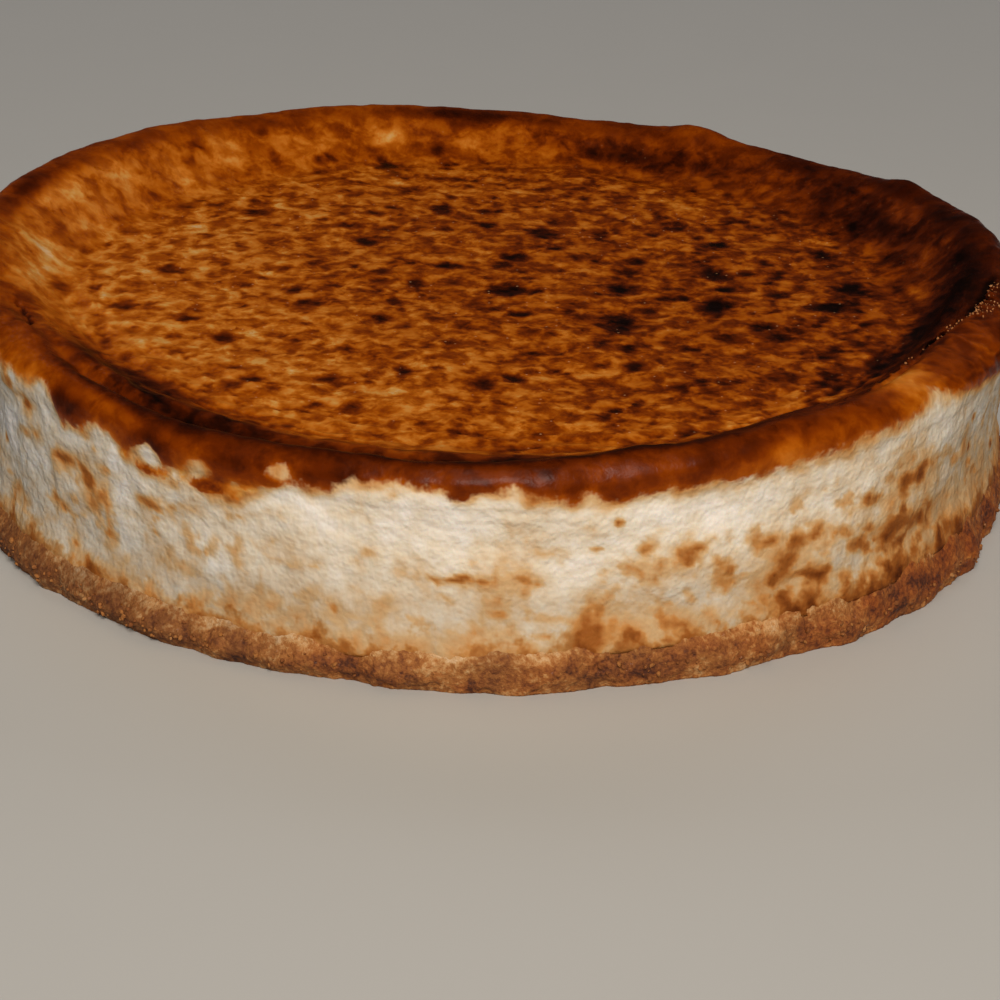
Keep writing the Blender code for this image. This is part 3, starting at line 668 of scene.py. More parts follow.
def dress_filling(surface, settings):
    """Wrinkles, blisters, cracks and baked tones of the filling, with some painted light and shade in the
    tones.
    """
    azimuth, along = surface.azimuth, surface.along
    points = surface.points.copy()
    flat = points * [1.0, 1.0, 0.0]
    floor_edge = along[np.argmax(surface.radius >= FLOOR_RADIUS - 1e-9)]
    out = (along - floor_edge) / MM
    under = surface.height <= BASE_THICKNESS - settings.foot_sink + 1e-9
    wall = smooth_step(30.0, 35.0, out)
    top = 1.0 - wall
    floor = 1.0 - smooth_step(-6.0, 6.0, out)
    slope = smooth_step(-6.0, 6.0, out) * (1.0 - smooth_step(17.0, 22.0, out))
    roll = smooth_step(15.0, 20.0, out) * top
    nothing = np.zeros(len(along))

    # Wrinkles that run round the cake where the floor sank away from the rim
    shake = 1.9 * MM * lattice_noise(points, 15.0 * MM, 5) + 0.5 * MM * lattice_noise(points, 6.0 * MM, 6)
    bent = np.stack([surface.turn * RING_WRINKLES, along + shake, nothing], axis=1)
    wide = crest_lines(lattice_noise(bent, (1.0, 3.6 * MM, 1.0), 11, RING_WRINKLES), 2.8)
    bent *= [2.0, 1.0, 1.0]
    tight = crest_lines(lattice_noise(bent, (1.0, 2.1 * MM, 1.0), 12, 2 * RING_WRINKLES), 2.6)
    ring_wrinkle = 0.65 * wide + 0.35 * tight
    left_wrinkles = bell(azimuth_gap(azimuth, 207.0), 26.0) * bell(out + 3.5, 8.0)
    right_wrinkles = bell(azimuth_gap(azimuth, 319.0), 17.0) * bell(out - 1.0, 6.0)
    front_wrinkles = bell(azimuth_gap(azimuth, 262.0), 45.0) * bell(out + 1.0, 9.0)
    rest = 0.22 * bell(out + 2.0, 9.0)
    wrinkled = np.clip(left_wrinkles + 0.9 * right_wrinkles + 0.65 * front_wrinkles + rest, 0.0, 1.1)

    # Oblique wrinkles of the glossy roll
    skew = np.stack([surface.turn * 1.6 * ROLL_WRINKLES, out, nothing], axis=1)
    skew[:, 0] += 0.5 * lattice_noise(points, 7.0 * MM, 15)
    skew[:, 1] += 0.8 * lattice_noise(points, 6.0 * MM, 16)
    roll_wrinkle = crest_lines(lattice_noise(skew, (1.6, 1.5, 1.0), 17, ROLL_WRINKLES), 2.4)

    # Fine wrinkles of the pale skin on the side, steeper towards the left and right
    side_bent = np.stack([surface.turn * SIDE_WRINKLES, along, nothing], axis=1)
    side_bent[:, 0] += 0.9 * lattice_noise(points, 7.0 * MM, 21) + 0.10 * (out - 48.0)
    upright = lattice_noise(side_bent, (1.0, 5.5 * MM, 1.0), 22, SIDE_WRINKLES)
    ends = 0.35 + swells(azimuth, ((212.0, 16.0, 0.9), (338.0, 18.0, 0.9), (90.0, 60.0, 0.35)))

    lump = layered_noise(points, 10.0 * MM, 31)
    knob = layered_noise(points, 4.2 * MM, 34)
    pebble = lattice_noise(points, 2.2 * MM, 38)
    dark_crust = bell(azimuth_gap(azimuth, 346.0), 15.0) * bell(out - 17.0, 5.0)
    crust_grain = pebbles(points, 1.8 * MM, 41)[0]

    relief = floor * (0.28 * lump + 0.20 * knob + 0.08 * pebble)
    relief += 0.62 * wrinkled * (ring_wrinkle - 0.4) * top
    relief += slope * (0.55 * lump + 0.28 * knob + 0.07 * pebble)
    oblique = 0.04 + swells(azimuth, ((336.0, 14.0, 0.32), (206.0, 12.0, 0.12)))
    relief += roll * (0.50 * lump + 0.24 * knob + 0.06 * pebble + oblique * roll_wrinkle)
    curd = layered_noise(points, 2.9 * MM, 46, 2)
    rough_side = 0.45 + 0.55 * np.minimum(ends, 1.0)
    relief += wall * (0.62 * lump + rough_side * (0.28 * knob + 0.24 * curd + 0.14 * pebble))
    relief += wall * 0.12 * ends * crest_lines(upright, 2.4)
    relief += 0.7 * dark_crust * (0.5 - crust_grain)

    # Browned skin, thicker than the pale side, with its ragged lower edge
    level = points[:, 2]
    edge = level - skin_edge_height(azimuth)
    edge -= 0.8 * MM * layered_noise(points, 9.0 * MM, 51) + 0.5 * MM * lattice_noise(points, 3.4 * MM, 54)
    edge = edge / MM + 1.9 * side_patches(azimuth, level, SKIN_RUNS)
    side_zone = smooth_step(24.5, 27.5, out)
    skin = np.where(under, 0.0, np.maximum(smooth_step(-0.7, 0.7, edge), 1.0 - side_zone))
    relief += 0.28 * skin * side_zone

    spots = top_spots(flat, 61) * top
    relief -= 0.20 * spots * floor
    stains = golden_stains(points, azimuth, level)
    cracks, sunken = crack_fall(azimuth, out, layered_noise(points, 3.4 * MM, 71))
    holes = side_patches(azimuth, level, [(a, z, 0.7, 0.7, 1.0) for a, z in PIN_HOLES])
    cell, cell_tone = cell_edges(points + 2.5 * MM * warp_vectors(points, 7.0 * MM, 90), 11.0 * MM, 93)
    seams = 1.0 - smooth_step(0.0, 0.16, cell)
    seams *= smooth_step(-0.25, 0.35, layered_noise(points, 15.0 * MM, 95))
    relief -= cracks + sunken
    relief[under] = 0.0

    # How far each place browned, from 0 for pale filling to 1 for charred, with painted light and shade added
    # in places
    top_bake_and_painted_light = FLOOR_BAKE + BAKE_TO_RIGHT * points[:, 0] + BAKE_TO_BACK * points[:, 1]
    top_bake_and_painted_light -= 0.065 * floor * bell(azimuth_gap(azimuth, 238.0), 42.0) * bell(out + 22.0, 24.0)
    top_bake_and_painted_light += rim_tones(azimuth, out) + 0.09 * lump * (1.0 - floor) + 0.02 * slope
    top_bake_and_painted_light += roll * (0.10 + swells(azimuth, ROLL_BROWNING))
    top_bake_and_painted_light -= 0.12 * side_zone * bell(np.maximum(edge, 0.0), 0.8)
    top_bake_and_painted_light += 0.38 * spots + 0.38 * roll * oblique * (0.35 - roll_wrinkle)
    over_dark = np.maximum(top_bake_and_painted_light - 0.74, 0.0)
    top_bake_and_painted_light -= 0.5 * over_dark * (1.0 - floor) * swells(azimuth, ((236.0, 26.0, 1.0),))
    # Painted highlights on the crests of the round wrinkles and painted shade in the grooves between them
    painted_wrinkle_light = 0.15 + 0.05 * left_wrinkles + 0.24 * right_wrinkles
    top_bake_and_painted_light -= painted_wrinkle_light * wrinkled * (ring_wrinkle - 0.32)
    # Painted shade in the cracks, darker the deeper they are
    top_bake_and_painted_light += 0.30 * np.clip(cracks, 0.0, 1.0)

    foot_gap = (level - layer_height(azimuth, surface.radius)) / MM
    side_bake_and_painted_shade = 0.022 + 0.05 * layered_noise(points, 14.0 * MM, 81)
    side_bake_and_painted_shade += 0.05 * layered_noise(points, 5.0 * MM, 84)
    side_bake_and_painted_shade += 0.56 * np.clip(stains, 0.0, 1.0)
    wash = 0.45 * layered_noise(points, 8.0 * MM, 97) + 0.75 * layered_noise(points, 4.0 * MM, 99)
    ochre = smooth_step(0.02, 0.34, wash) * smooth_step(30.0, 14.0, foot_gap)
    side_bake_and_painted_shade += ochre * (0.08 + swells(azimuth, SIDE_WASH))
    foot_line = bell(np.maximum(foot_gap, 0.0), 2.4)
    side_bake_and_painted_shade += 0.11 * foot_line * (0.9 + 1.2 * layered_noise(points, 6.0 * MM, 86))
    tan_rim = 1.1 + swells(azimuth, ((300.0, 14.0, 1.3), (240.0, 12.0, 0.6)))
    skin_line = bell(np.minimum(edge, 0.0) / tan_rim, 1.0)
    side_bake_and_painted_shade += 0.26 * skin_line * (0.8 + 0.9 * layered_noise(points, 4.0 * MM, 88))
    side_bake_and_painted_shade += 0.01 * swells(azimuth, ((312.0, 22.0, 1.0),))
    side_bake_and_painted_shade += 0.05 * seams + 0.05 * (cell_tone - 0.5)
    side_bake_and_painted_shade += 0.09 * swells(azimuth, ((340.0, 18.0, 1.0),))
    # Darker and browner towards the foot of the side: partly the filling's own colour near the crust, partly
    # painted shade
    side_bake_and_painted_shade += (0.075 + swells(azimuth, ((259.0, 9.0, 0.04),))) * (1.0 - smooth_step(4.0, 19.0, foot_gap))
    side_bake_and_painted_shade = np.minimum(side_bake_and_painted_shade, 0.42 + 0.75 * (side_bake_and_painted_shade - 0.42)) + 0.5 * holes

    moved = points + surface.normals() * (relief * MM)[:, None]
    over = np.maximum(moved[:, 2] - (CAKE_TOP - HEAD_ROOM), 0.0)
    moved[:, 2] += HEAD_ROOM * (1.0 - np.exp(-over / HEAD_ROOM)) - over
    surface.place(moved)
    surface.store("top_bake_and_painted_light", top_bake_and_painted_light)
    surface.store("side_bake_and_painted_shade", side_bake_and_painted_shade)
    shown_edge = np.where(side_zone < 0.02, 3.0, np.clip(edge, -3.0, 3.0))
    surface.store("skin", shown_edge * np.where(under, 0.0, 1.0))
    surface.store("crust", dark_crust)
    surface.store("calm", np.clip(0.55 * slope + 1.0 * roll + 0.45 * left_wrinkles, 0.0, 1.0))
    surface.store("foot_gap", np.clip(foot_gap, -3.0, 20.0))
    surface.store("rim_out", out)
    # Painted shade: the left and right ends and the lower part of the side are greyed and darkened where they
    # carry no stain
    ends_painted_shade = swells(azimuth, ((208.0, 30.0, 1.0), (346.0, 22.0, 1.0)))
    low_painted_shade = 0.75 * (1.0 - smooth_step(3.0, 17.0, foot_gap))
    unstained = 1.0 - smooth_step(0.10, 0.34, side_bake_and_painted_shade)
    surface.store("painted_shade", np.clip(ends_painted_shade + low_painted_shade, 0.0, 1.0) * unstained)


def golden_stains(points, azimuth, level):
    """Ragged golden stains of the side, each with a dark middle and a faint wide halo."""
    bent_azimuth = azimuth + 0.9 * layered_noise(points, 4.6 * MM, 65)
    bent_level = level + 1.5 * MM * layered_noise(points, 4.6 * MM, 68)
    stains = (*SIDE_STAINS, *hidden_stains())
    halos = [(a, z, 2.0 * w, 2.2 * h, s) for a, z, w, h, s in stains]
    body = side_patches(bent_azimuth, bent_level, stains)
    broken = 0.55 * layered_noise(points, 2.6 * MM, 64) * smooth_step(0.03, 0.22, body)
    cores = smooth_step(0.12, 0.66, body + broken)
    halo = np.minimum(side_patches(bent_azimuth, bent_level, halos), 0.9)
    halo *= 0.8 + 0.8 * layered_noise(points, 5.0 * MM, 67)
    return cores * (0.18 + 0.52 * np.minimum(body, 1.0)) + 0.30 * halo


def rim_tones(azimuth, out):
    """Darker and lighter patches of the rim: mostly baking, with some painted shadows and highlights."""
    change = np.zeros(len(azimuth))
    for middle, distance, half_length, half_width, amount in RIM_TONES:
        arc = np.radians(azimuth_gap(azimuth, middle)) * (FLOOR_RADIUS / MM + distance)
        change += amount * bell(arc, half_length) * bell(out - distance, half_width)
    return change


def base_rings(settings):
    """Rings of the crumb base: coarse inside and underneath, fine on the side that shows."""
    full = settings.crumb_points_round
    rings = [(0.0, BASE_THICKNESS, 1)]
    for divide, inset in BASE_TOP_RINGS:
        rings.append((WALL_RADIUS - inset * MM, BASE_THICKNESS, full // divide))
    steps = settings.crumb_rings
    for i in range(steps + 1):
        rings.append((WALL_RADIUS, BASE_SIDE_TOP * (1.0 - i / steps), full))
    for divide, inset in BASE_FOOT_RINGS:
        rings.append((WALL_RADIUS - inset * MM, 0.0, full // divide))
    rings.append((0.0, 0.0, 1))
    return rings


def form_base(surface):
    """Broken outline of the base, which carries on the line of the side above it."""
    azimuth, radius, height = surface.azimuth, surface.radius, surface.height
    rim = turned_points(azimuth, BASE_RADIUS, height)
    seen = radius > WALL_RADIUS - 1e-9
    reach = np.zeros(len(radius))
    coarse = frame_noise(rim[seen] / CRUMB_EDGE_SIZE) * CRUMB_EDGE
    reach[seen] = coarse + frame_noise(rim[seen] / CRUMB_CHIP_SIZE) * CRUMB_CHIP
    reach += swells(azimuth, BASE_LUMPS)
    rise = layer_height(azimuth, radius)
    level = height * rise / BASE_THICKNESS
    turned = np.clip(level - rise + BASE_THICKNESS, BASE_THICKNESS - 1.5 * MM, None)
    side = edge_drift(azimuth, np.full(len(radius), WALL_RADIUS), turned)
    side += FOOT_FLARE * (1.0 - smooth_step(0.0, FOOT_FLARE_HEIGHT, turned - BASE_THICKNESS + 1.5 * MM))
    low = smooth_step(-BASE_SIDE_TOP, -3.2 * MM, -height)
    bulge = side - BASE_INSET + low * (BASE_RADIUS - WALL_RADIUS - FOOT_FLARE + BASE_INSET + reach)
    bulge -= 0.8 * MM * smooth_step(-2.8 * MM, 0.0, -height)
    surface.place(turned_points(azimuth, np.where(seen, WALL_RADIUS + bulge, radius), level))


def dress_base(surface):
    """Crumb relief and the tone of each crumb."""
    points = surface.points.copy()
    seen = (surface.radius > WALL_RADIUS - 1.2 * MM).astype(float)
    bent = points + 1.2 * MM * lattice_noise(points, 3.0 * MM, 101)[:, None]
    clump, clump_tone = pebbles(bent, 4.2 * MM, 102)
    crumb, crumb_tone = pebbles(points, 1.7 * MM, 103)
    grit, grit_tone = pebbles(points, 0.85 * MM, 104)
    shoulder = smooth_step(4.5 * MM, 7.5 * MM, surface.height)
    relief = 0.28 * (0.55 - clump) + 0.42 * (0.5 - crumb) + 0.34 * (0.5 - grit)
    relief *= 1.0 - 0.45 * shoulder
    relief += (0.45 - 0.15 * shoulder) * layered_noise(points, 6.0 * MM, 105)
    height_share = surface.height / BASE_THICKNESS
    lower = 1.0 - smooth_step(0.0, 0.35, height_share)
    chips = np.clip(layered_noise(points * [1.0, 1.0, 0.3], 3.2 * MM, 106) - 0.15, 0.0, 1.0) * lower
    moved = points + surface.normals() * (seen * (relief - 1.6 * chips) * MM)[:, None]
    low, high = CAD_BOX
    moved[:, 2] = np.where(surface.height <= 0.0, 0.0, np.maximum(moved[:, 2], 0.05 * MM))
    for axis in (0, 1):
        moved[:, axis] = np.clip(moved[:, axis], low[axis] + 0.1 * MM, high[axis] - 0.1 * MM)
    surface.place(moved)
    upper = smooth_step(4.6 * MM, 8.6 * MM, surface.height)
    upper *= 0.6 + 1.3 * layered_noise(points, 5.0 * MM, 108)
    mixed = smooth_step(3.6 * MM, 9.2 * MM, surface.height) * swells(surface.azimuth, SMEARED_BASE)
    mixed *= 0.8 + 0.8 * layered_noise(points, 7.0 * MM, 110)
    grain_tone = 0.16 * crumb_tone + 0.18 * clump_tone + 0.34 * grit_tone
    darker = swells(surface.azimuth, ((286.0, 5.0, 0.13), (311.0, 7.0, 0.12)))
    surface.store("crumb_tone", 0.17 + grain_tone + 0.26 * upper + 0.90 * mixed - darker)
    # Low values darken the crumbs with a grey tint: at the left this is painted shade, elsewhere patches of
    # random tone; high values, towards the right, tint them caramel
    caramel_and_shade = 0.40 + swells(surface.azimuth, ((332.0, 26.0, 0.50), (216.0, 26.0, -0.30)))
    caramel_and_shade += 0.55 * layered_noise(points, 8.0 * MM, 109)
    surface.store("caramel_and_shade", np.clip(caramel_and_shade, 0.0, 1.0))
    surface.store("crumb_height", 0.5 + 0.5 * relief)
    edge_share = 0.4 + 0.9 * layered_noise(points, 7.0 * MM, 107)
    surface.store("low_edge", bell(surface.height / MM, 1.4) * edge_share)


def add_node(material, kind, inputs=None, **settings):
    """Add a shader node, set its properties, and set or link its inputs."""
    tree = material.node_tree
    node = tree.nodes.new(kind)
    for name, value in settings.items():
        setattr(node, name, value)
    for key, value in (inputs or {}).items():
        if isinstance(value, bpy.types.NodeSocket):
            tree.links.new(value, node.inputs[key])
        else:
            node.inputs[key].default_value = value
    return node


def spread(noise_value, low, high):
    """Inputs that stretch the middle of a noise, where nearly all its values lie, from low to high."""
    return {"Value": noise_value, "From Min": 0.3, "From Max": 0.7, "To Min": low, "To Max": high}


def new_material(name):
    """An empty node material with its output."""
    material = bpy.data.materials.new(name)
    material.use_nodes = True
    material.node_tree.nodes.clear()
    return material


def set_stops(ramp_node, stops):
    """Give a colour ramp its stops, as position and colour."""
    ramp = ramp_node.color_ramp
    while len(ramp.elements) < len(stops):
        ramp.elements.new(1.0)
    for element, (position, colour) in zip(ramp.elements, stops):
        element.position = position
        element.color = (*colour[:3], 1.0)


def baked_filling_material(colours):
    """Baked cheese filling, set in a tin under dry oven heat.

    Pale where the tin shielded it, matt and a little translucent.
    Browned skin on top is smoother, darker and glossy.
    """
    m = new_material("Baked cheese filling, oven browned")
    place = add_node(m, "ShaderNodeTexCoord").outputs["Object"]
    names = ("top_bake_and_painted_light", "side_bake_and_painted_shade", "skin", "crust", "calm", "foot_gap", "painted_shade")
    stored = {name: add_node(m, ATTRIBUTE, attribute_name=name).outputs["Fac"] for name in names}
    noises = {}
    for name, (width, detail, roughness, distortion) in FILLING_NOISES.items():
        noises[name] = add_node(m, NOISE, {
            "Vector": place, "Scale": 1.0 / (width * MM), "Detail": detail,
            "Roughness": roughness, "Distortion": distortion}).outputs

    # Mottling of the browned skin: blotches of 9 mm, islands of 5 mm, flecks of 2 mm, three sizes of blister
    bent = add_node(m, "ShaderNodeVectorMath", {
        0: noises["bend"]["Color"], 1: (4.5 * MM,) * 3, 2: place}, operation="MULTIPLY_ADD").outputs[0]
    islands = add_node(m, RANGE, {
        "Value": noises["island"][0], "From Min": 0.34, "From Max": 0.66, "To Min": 0.135, "To Max": -0.125},
        interpolation_type="SMOOTHSTEP").outputs[0]
    blotches = add_node(m, RANGE, spread(noises["blotch"][0], -0.085, 0.095)).outputs[0]
    flecks = add_node(m, RANGE, spread(noises["fleck"][0], -0.03, 0.035)).outputs[0]
    mottle = add_node(m, MATH, {0: islands, 1: blotches}, operation="ADD").outputs[0]
    mottle = add_node(m, MATH, {0: mottle, 1: flecks}, operation="ADD").outputs[0]
    for spacing, depth in BLISTERS:
        cell = add_node(m, CELLS, {"Vector": bent, "Scale": 1.0 / (spacing * MM), "Randomness": 1.0})
        parts = add_node(m, "ShaderNodeSeparateColor", {0: cell.outputs["Color"]}).outputs
        reach = add_node(m, RANGE, {"Value": parts[0], "To Min": 0.22, "To Max": 0.62}).outputs[0]
        amount = add_node(m, RANGE, {
            "Value": parts[1], "From Min": 0.25, "To Min": 0.0, "To Max": depth}).outputs[0]
        blister = add_node(m, RANGE, {
            "Value": cell.outputs["Distance"], "From Min": 0.02, "From Max": reach, "To Min": amount,
            "To Max": 0.0}, interpolation_type="SMOOTHSTEP").outputs[0]
        mottle = add_node(m, MATH, {0: mottle, 1: blister}, operation="ADD").outputs[0]
    # The thick skin of the rim is even: its mottling is fainter
    keep = add_node(m, RANGE, {"Value": stored["calm"], "To Min": 1.0, "To Max": 0.32}).outputs[0]
    top_tone = add_node(m, MATH, {
        0: mottle, 1: keep, 2: stored["top_bake_and_painted_light"]}, operation="MULTIPLY_ADD").outputs[0]

    # The pale side is calmer: cloudy patches and a fine grain
    clouds = add_node(m, RANGE, spread(noises["cloud"][0], -0.05, 0.07)).outputs[0]
    side_tone = add_node(m, MATH, {0: stored["side_bake_and_painted_shade"], 1: clouds}, operation="ADD").outputs[0]
    side_tone = add_node(m, MATH, {0: flecks, 1: 0.6, 2: side_tone}, operation="MULTIPLY_ADD").outputs[0]

    # Crumbs and smears of 5 mm caught in the foot of the filling, fewer the higher it is above the base
    caught = add_node(m, RANGE, spread(noises["caught"][0], -0.8, 1.1)).outputs[0]
    lift = add_node(m, MATH, {
        0: stored["foot_gap"], 1: -0.24, 2: caught}, operation="MULTIPLY_ADD").outputs[0]
    crumbed = add_node(m, RANGE, {"Value": lift, "From Min": -0.5, "From Max": 0.5, "To Max": 0.17},
                       interpolation_type="SMOOTHSTEP").outputs[0]
    side_tone = add_node(m, MATH, {0: side_tone, 1: crumbed}, operation="ADD").outputs[0]

    # Ragged lower edge of the skin
    ragged = add_node(m, RANGE, spread(noises["ragged"][0], -0.7, 0.7)).outputs[0]
    edge = add_node(m, MATH, {0: stored["skin"], 1: ragged}, operation="ADD").outputs[0]
    skin = add_node(m, RANGE, {"Value": edge, "From Min": -0.9, "From Max": 0.6},
                    interpolation_type="SMOOTHSTEP").outputs[0]

    side_ramp = add_node(m, "ShaderNodeValToRGB", {"Fac": side_tone})
    set_stops(side_ramp, (
        (0.00, colours.pale_filling), (0.09, colours.cream_filling), (0.19, colours.straw_filling),
        (0.31, colours.tan_filling), (0.45, colours.toasted_filling), (0.62, colours.browned_filling),
        (0.85, colours.umber_skin)))
    # Painted shade: the side colour is multiplied by a cool grey tint at its ends and low down
    side_in_painted_shade = add_node(m, "ShaderNodeMix", {
        0: stored["painted_shade"], 6: side_ramp.outputs["Color"], 7: (*colours.painted_shade_tint, 1.0)},
        data_type="RGBA", blend_type="MULTIPLY").outputs[2]
    top_ramp = add_node(m, "ShaderNodeValToRGB", {"Fac": top_tone})
    set_stops(top_ramp, (
        (0.18, colours.straw_skin), (0.28, colours.golden_skin), (0.37, colours.amber_skin),
        (0.46, colours.copper_skin), (0.54, colours.russet_skin), (0.62, colours.rust_skin),
        (0.70, colours.chestnut_skin), (0.80, colours.umber_skin), (0.90, colours.mahogany_skin),
        (1.00, colours.charred_skin)))
    colour = add_node(m, "ShaderNodeMix", {0: skin, 6: side_in_painted_shade, 7: top_ramp.outputs["Color"]}, data_type="RGBA")

    # Burst bubbles of 0.4 mm on the sunken top, drawn as pale dots: painted glints
    cell = add_node(m, CELLS, {"Vector": place, "Scale": 1.0 / (2.1 * MM), "Randomness": 1.0})
    parts = add_node(m, "ShaderNodeSeparateColor", {0: cell.outputs["Color"]}).outputs
    chosen = add_node(m, RANGE, {"Value": parts[0], "From Min": 0.70, "From Max": 0.72}).outputs[0]
    chosen = add_node(m, MATH, {0: chosen, 1: keep, 2: -0.55},
                      operation="MULTIPLY_ADD", use_clamp=True).outputs[0]
    painted_glints = add_node(m, RANGE, {
        "Value": cell.outputs["Distance"], "From Min": 0.08, "From Max": 0.14, "To Min": chosen,
        "To Max": 0.0}, interpolation_type="SMOOTHSTEP").outputs[0]
    painted_glints = add_node(m, MATH, {0: painted_glints, 1: skin}, operation="MULTIPLY").outputs[0]
    colour = add_node(m, "ShaderNodeMix", {
        0: painted_glints, 6: colour.outputs[2], 7: (*colours.painted_glint_skin, 1.0)}, data_type="RGBA")

    # Fine relief: crumpled skin with grain and the smallest blisters, and curds in the pale side
    curds = add_node(m, RANGE, {"Value": skin, "To Min": 2.2, "To Max": 0.0}).outputs[0]
    relief = noises["crumple"][0]
    for layer, share in ((noises["grain"][0], 0.4), (blister, 2.0), (noises["curd"][0], curds)):
        relief = add_node(m, MATH, {0: layer, 1: share, 2: relief}, operation="MULTIPLY_ADD").outputs[0]
    strength = add_node(m, RANGE, {"Value": skin, "To Min": 0.46, "To Max": 0.26}).outputs[0]
    bump = add_node(m, "ShaderNodeBump", {
        "Height": relief, "Distance": 0.4 * MM, "Strength": strength}).outputs[0]

    rough = add_node(m, RANGE, {"Value": skin, "To Min": 0.60, "To Max": 0.30}).outputs[0]
    uneven = add_node(m, RANGE, spread(noises["blotch"][0], -0.05, 0.08)).outputs[0]
    rough = add_node(m, MATH, {0: rough, 1: uneven}, operation="ADD").outputs[0]
    rough = add_node(m, MATH, {0: stored["crust"], 1: 0.25, 2: rough},
                     operation="MULTIPLY_ADD", use_clamp=True).outputs[0]
    shader = add_node(m, "ShaderNodeBsdfPrincipled", {
        "Base Color": colour.outputs[2], "Roughness": rough, "Normal": bump, "IOR": 1.45,
        "Specular IOR Level": 0.08, "Subsurface Weight": 0.12, "Subsurface Radius": (1.0, 0.55, 0.3),
        "Subsurface Scale": 2.2 * MM})
    add_node(m, "ShaderNodeOutputMaterial", {"Surface": shader.outputs[0]})
    return m


def crumb_material(name, attribute, shades, tints=((1.0, 1.0, 1.0), (1.0, 1.0, 1.0))):
    """Biscuit crumb bound with butter and pressed in the tin.

    Matt and granular, each crumb with its own tone, and a few sugary glints.
    """
    m = new_material(name)
    place = add_node(m, "ShaderNodeTexCoord").outputs["Object"]
    names = (attribute, "crumb_height", "low_edge", "caramel_and_shade")
    tone, height, low_edge, caramel_and_shade = [
        add_node(m, ATTRIBUTE, attribute_name=name).outputs["Fac"] for name in names]
    # Grit of 0.6 mm inside each crumb, and patches of 8 mm
    grit = add_node(m, NOISE, {"Vector": place, "Scale": 1.0 / (0.6 * MM), "Detail": 2.0, "Roughness": 0.65})
    patch = add_node(m, NOISE, {"Vector": place, "Scale": 1.0 / (8.0 * MM), "Detail": 3.0, "Roughness": 0.6})
    for layer, reach in ((grit.outputs[0], (-0.15, 0.15)), (patch.outputs[0], (-0.28, 0.26))):
        change = add_node(m, RANGE, spread(layer, *reach)).outputs[0]
        tone = add_node(m, MATH, {0: tone, 1: change}, operation="ADD").outputs[0]
    # Higher crumbs are lighter and the hollows darker: painted light and shade by height; the low edge is
    # paler
    for layer, share in ((height, 0.20), (low_edge, 0.36)):
        tone = add_node(m, MATH, {0: layer, 1: share, 2: tone}, operation="MULTIPLY_ADD").outputs[0]
    tone = add_node(m, MATH, {0: tone, 1: 0.75}, operation="MULTIPLY").outputs[0]
    ramp = add_node(m, "ShaderNodeValToRGB", {"Fac": tone})
    set_stops(ramp, list(zip((0.15, 0.36, 0.585, 0.765, 1.0), shades)))
    # Grey at the low end, painted shade at the left of the base and darker patches elsewhere; caramel at the
    # high end
    tint = add_node(m, "ShaderNodeValToRGB", {"Fac": caramel_and_shade})
    set_stops(tint, ((0.0, tints[0]), (0.36, (1.0, 1.0, 1.0)), (1.0, tints[1])))
    colour = add_node(m, "ShaderNodeMix", {0: 1.0, 6: ramp.outputs["Color"], 7: tint.outputs["Color"]},
                      data_type="RGBA", blend_type="MULTIPLY").outputs[2]
    # Sugary glints 1.6 mm apart
    glint = add_node(m, CELLS, {"Vector": place, "Scale": 1.0 / (1.6 * MM)})
    rough = add_node(m, RANGE, {
        "Value": glint.outputs["Distance"], "From Min": 0.12, "From Max": 0.22, "To Min": 0.22,
        "To Max": 0.82}).outputs[0]
    bump = add_node(m, "ShaderNodeBump", {
        "Height": grit.outputs[0], "Distance": 0.5 * MM, "Strength": 0.8}).outputs[0]
    shader = add_node(m, "ShaderNodeBsdfPrincipled", {
        "Base Color": colour, "Roughness": rough, "Normal": bump, "IOR": 1.5, "Specular IOR Level": 0.4})
    add_node(m, "ShaderNodeOutputMaterial", {"Surface": shader.outputs[0]})
    return m


def biscuit_shades(colours):
    """Biscuit colours from dark to pale, then that of filling smeared over the crumbs."""
    return colours.dark_crumb_and_painted_shade, colours.crumb_brown, colours.crumb_tan, colours.crumb_pale, colours.crumb_smear


def vertex_values(mesh, name, count=1):
    """Numbers kept on the vertices of a mesh; name is an attribute, or co or normal."""
    values = np.empty(len(mesh.vertices) * count, dtype=np.float32)
    if name == "co":
        mesh.vertices.foreach_get("co", values)
    elif name == "normal":
        mesh.vertex_normals.foreach_get("vector", values)
    else:
        mesh.attributes[name].data.foreach_get("value", values)
    return values.reshape(-1, count) if count > 1 else values


def scatter_bits(name, seats, normals, widths, sink, seed):
    """One mesh of small rough lumps, each sunk a share of its width into its seat."""
    shape = bmesh.new()
    bmesh.ops.create_icosphere(shape, subdivisions=1, radius=0.5)
    ball = np.array([v.co[:] for v in shape.verts])
    corners = np.array([[v.index for v in f.verts] for f in shape.faces])
    shape.free()
    draw = np.random.default_rng(seed)
    points, faces, tones = [], [], []
    for i, (seat, normal, width) in enumerate(zip(seats, normals, widths)):
        stretch = draw.uniform(0.55, 1.3, 3)
        turn = np.array(Euler(draw.uniform(0.0, 2.0 * math.pi, 3)).to_matrix())
        lump = ball * (1.0 + draw.uniform(-0.32, 0.32, (len(ball), 1))) * stretch
        points.append(seat + (0.5 - sink) * width * normal + width * lump @ turn.T)
        faces.append(corners + i * len(ball))
        tones.append(np.full(len(ball), draw.uniform(0.15, 1.0)))
    mesh = bpy.data.meshes.new(name)
    mesh.from_pydata(np.concatenate(points), [], np.concatenate(faces).tolist())
    layer = mesh.attributes.new("bit_tone", "FLOAT", "POINT")
    layer.data.foreach_set("value", np.concatenate(tones).astype(np.float32))
    return mesh


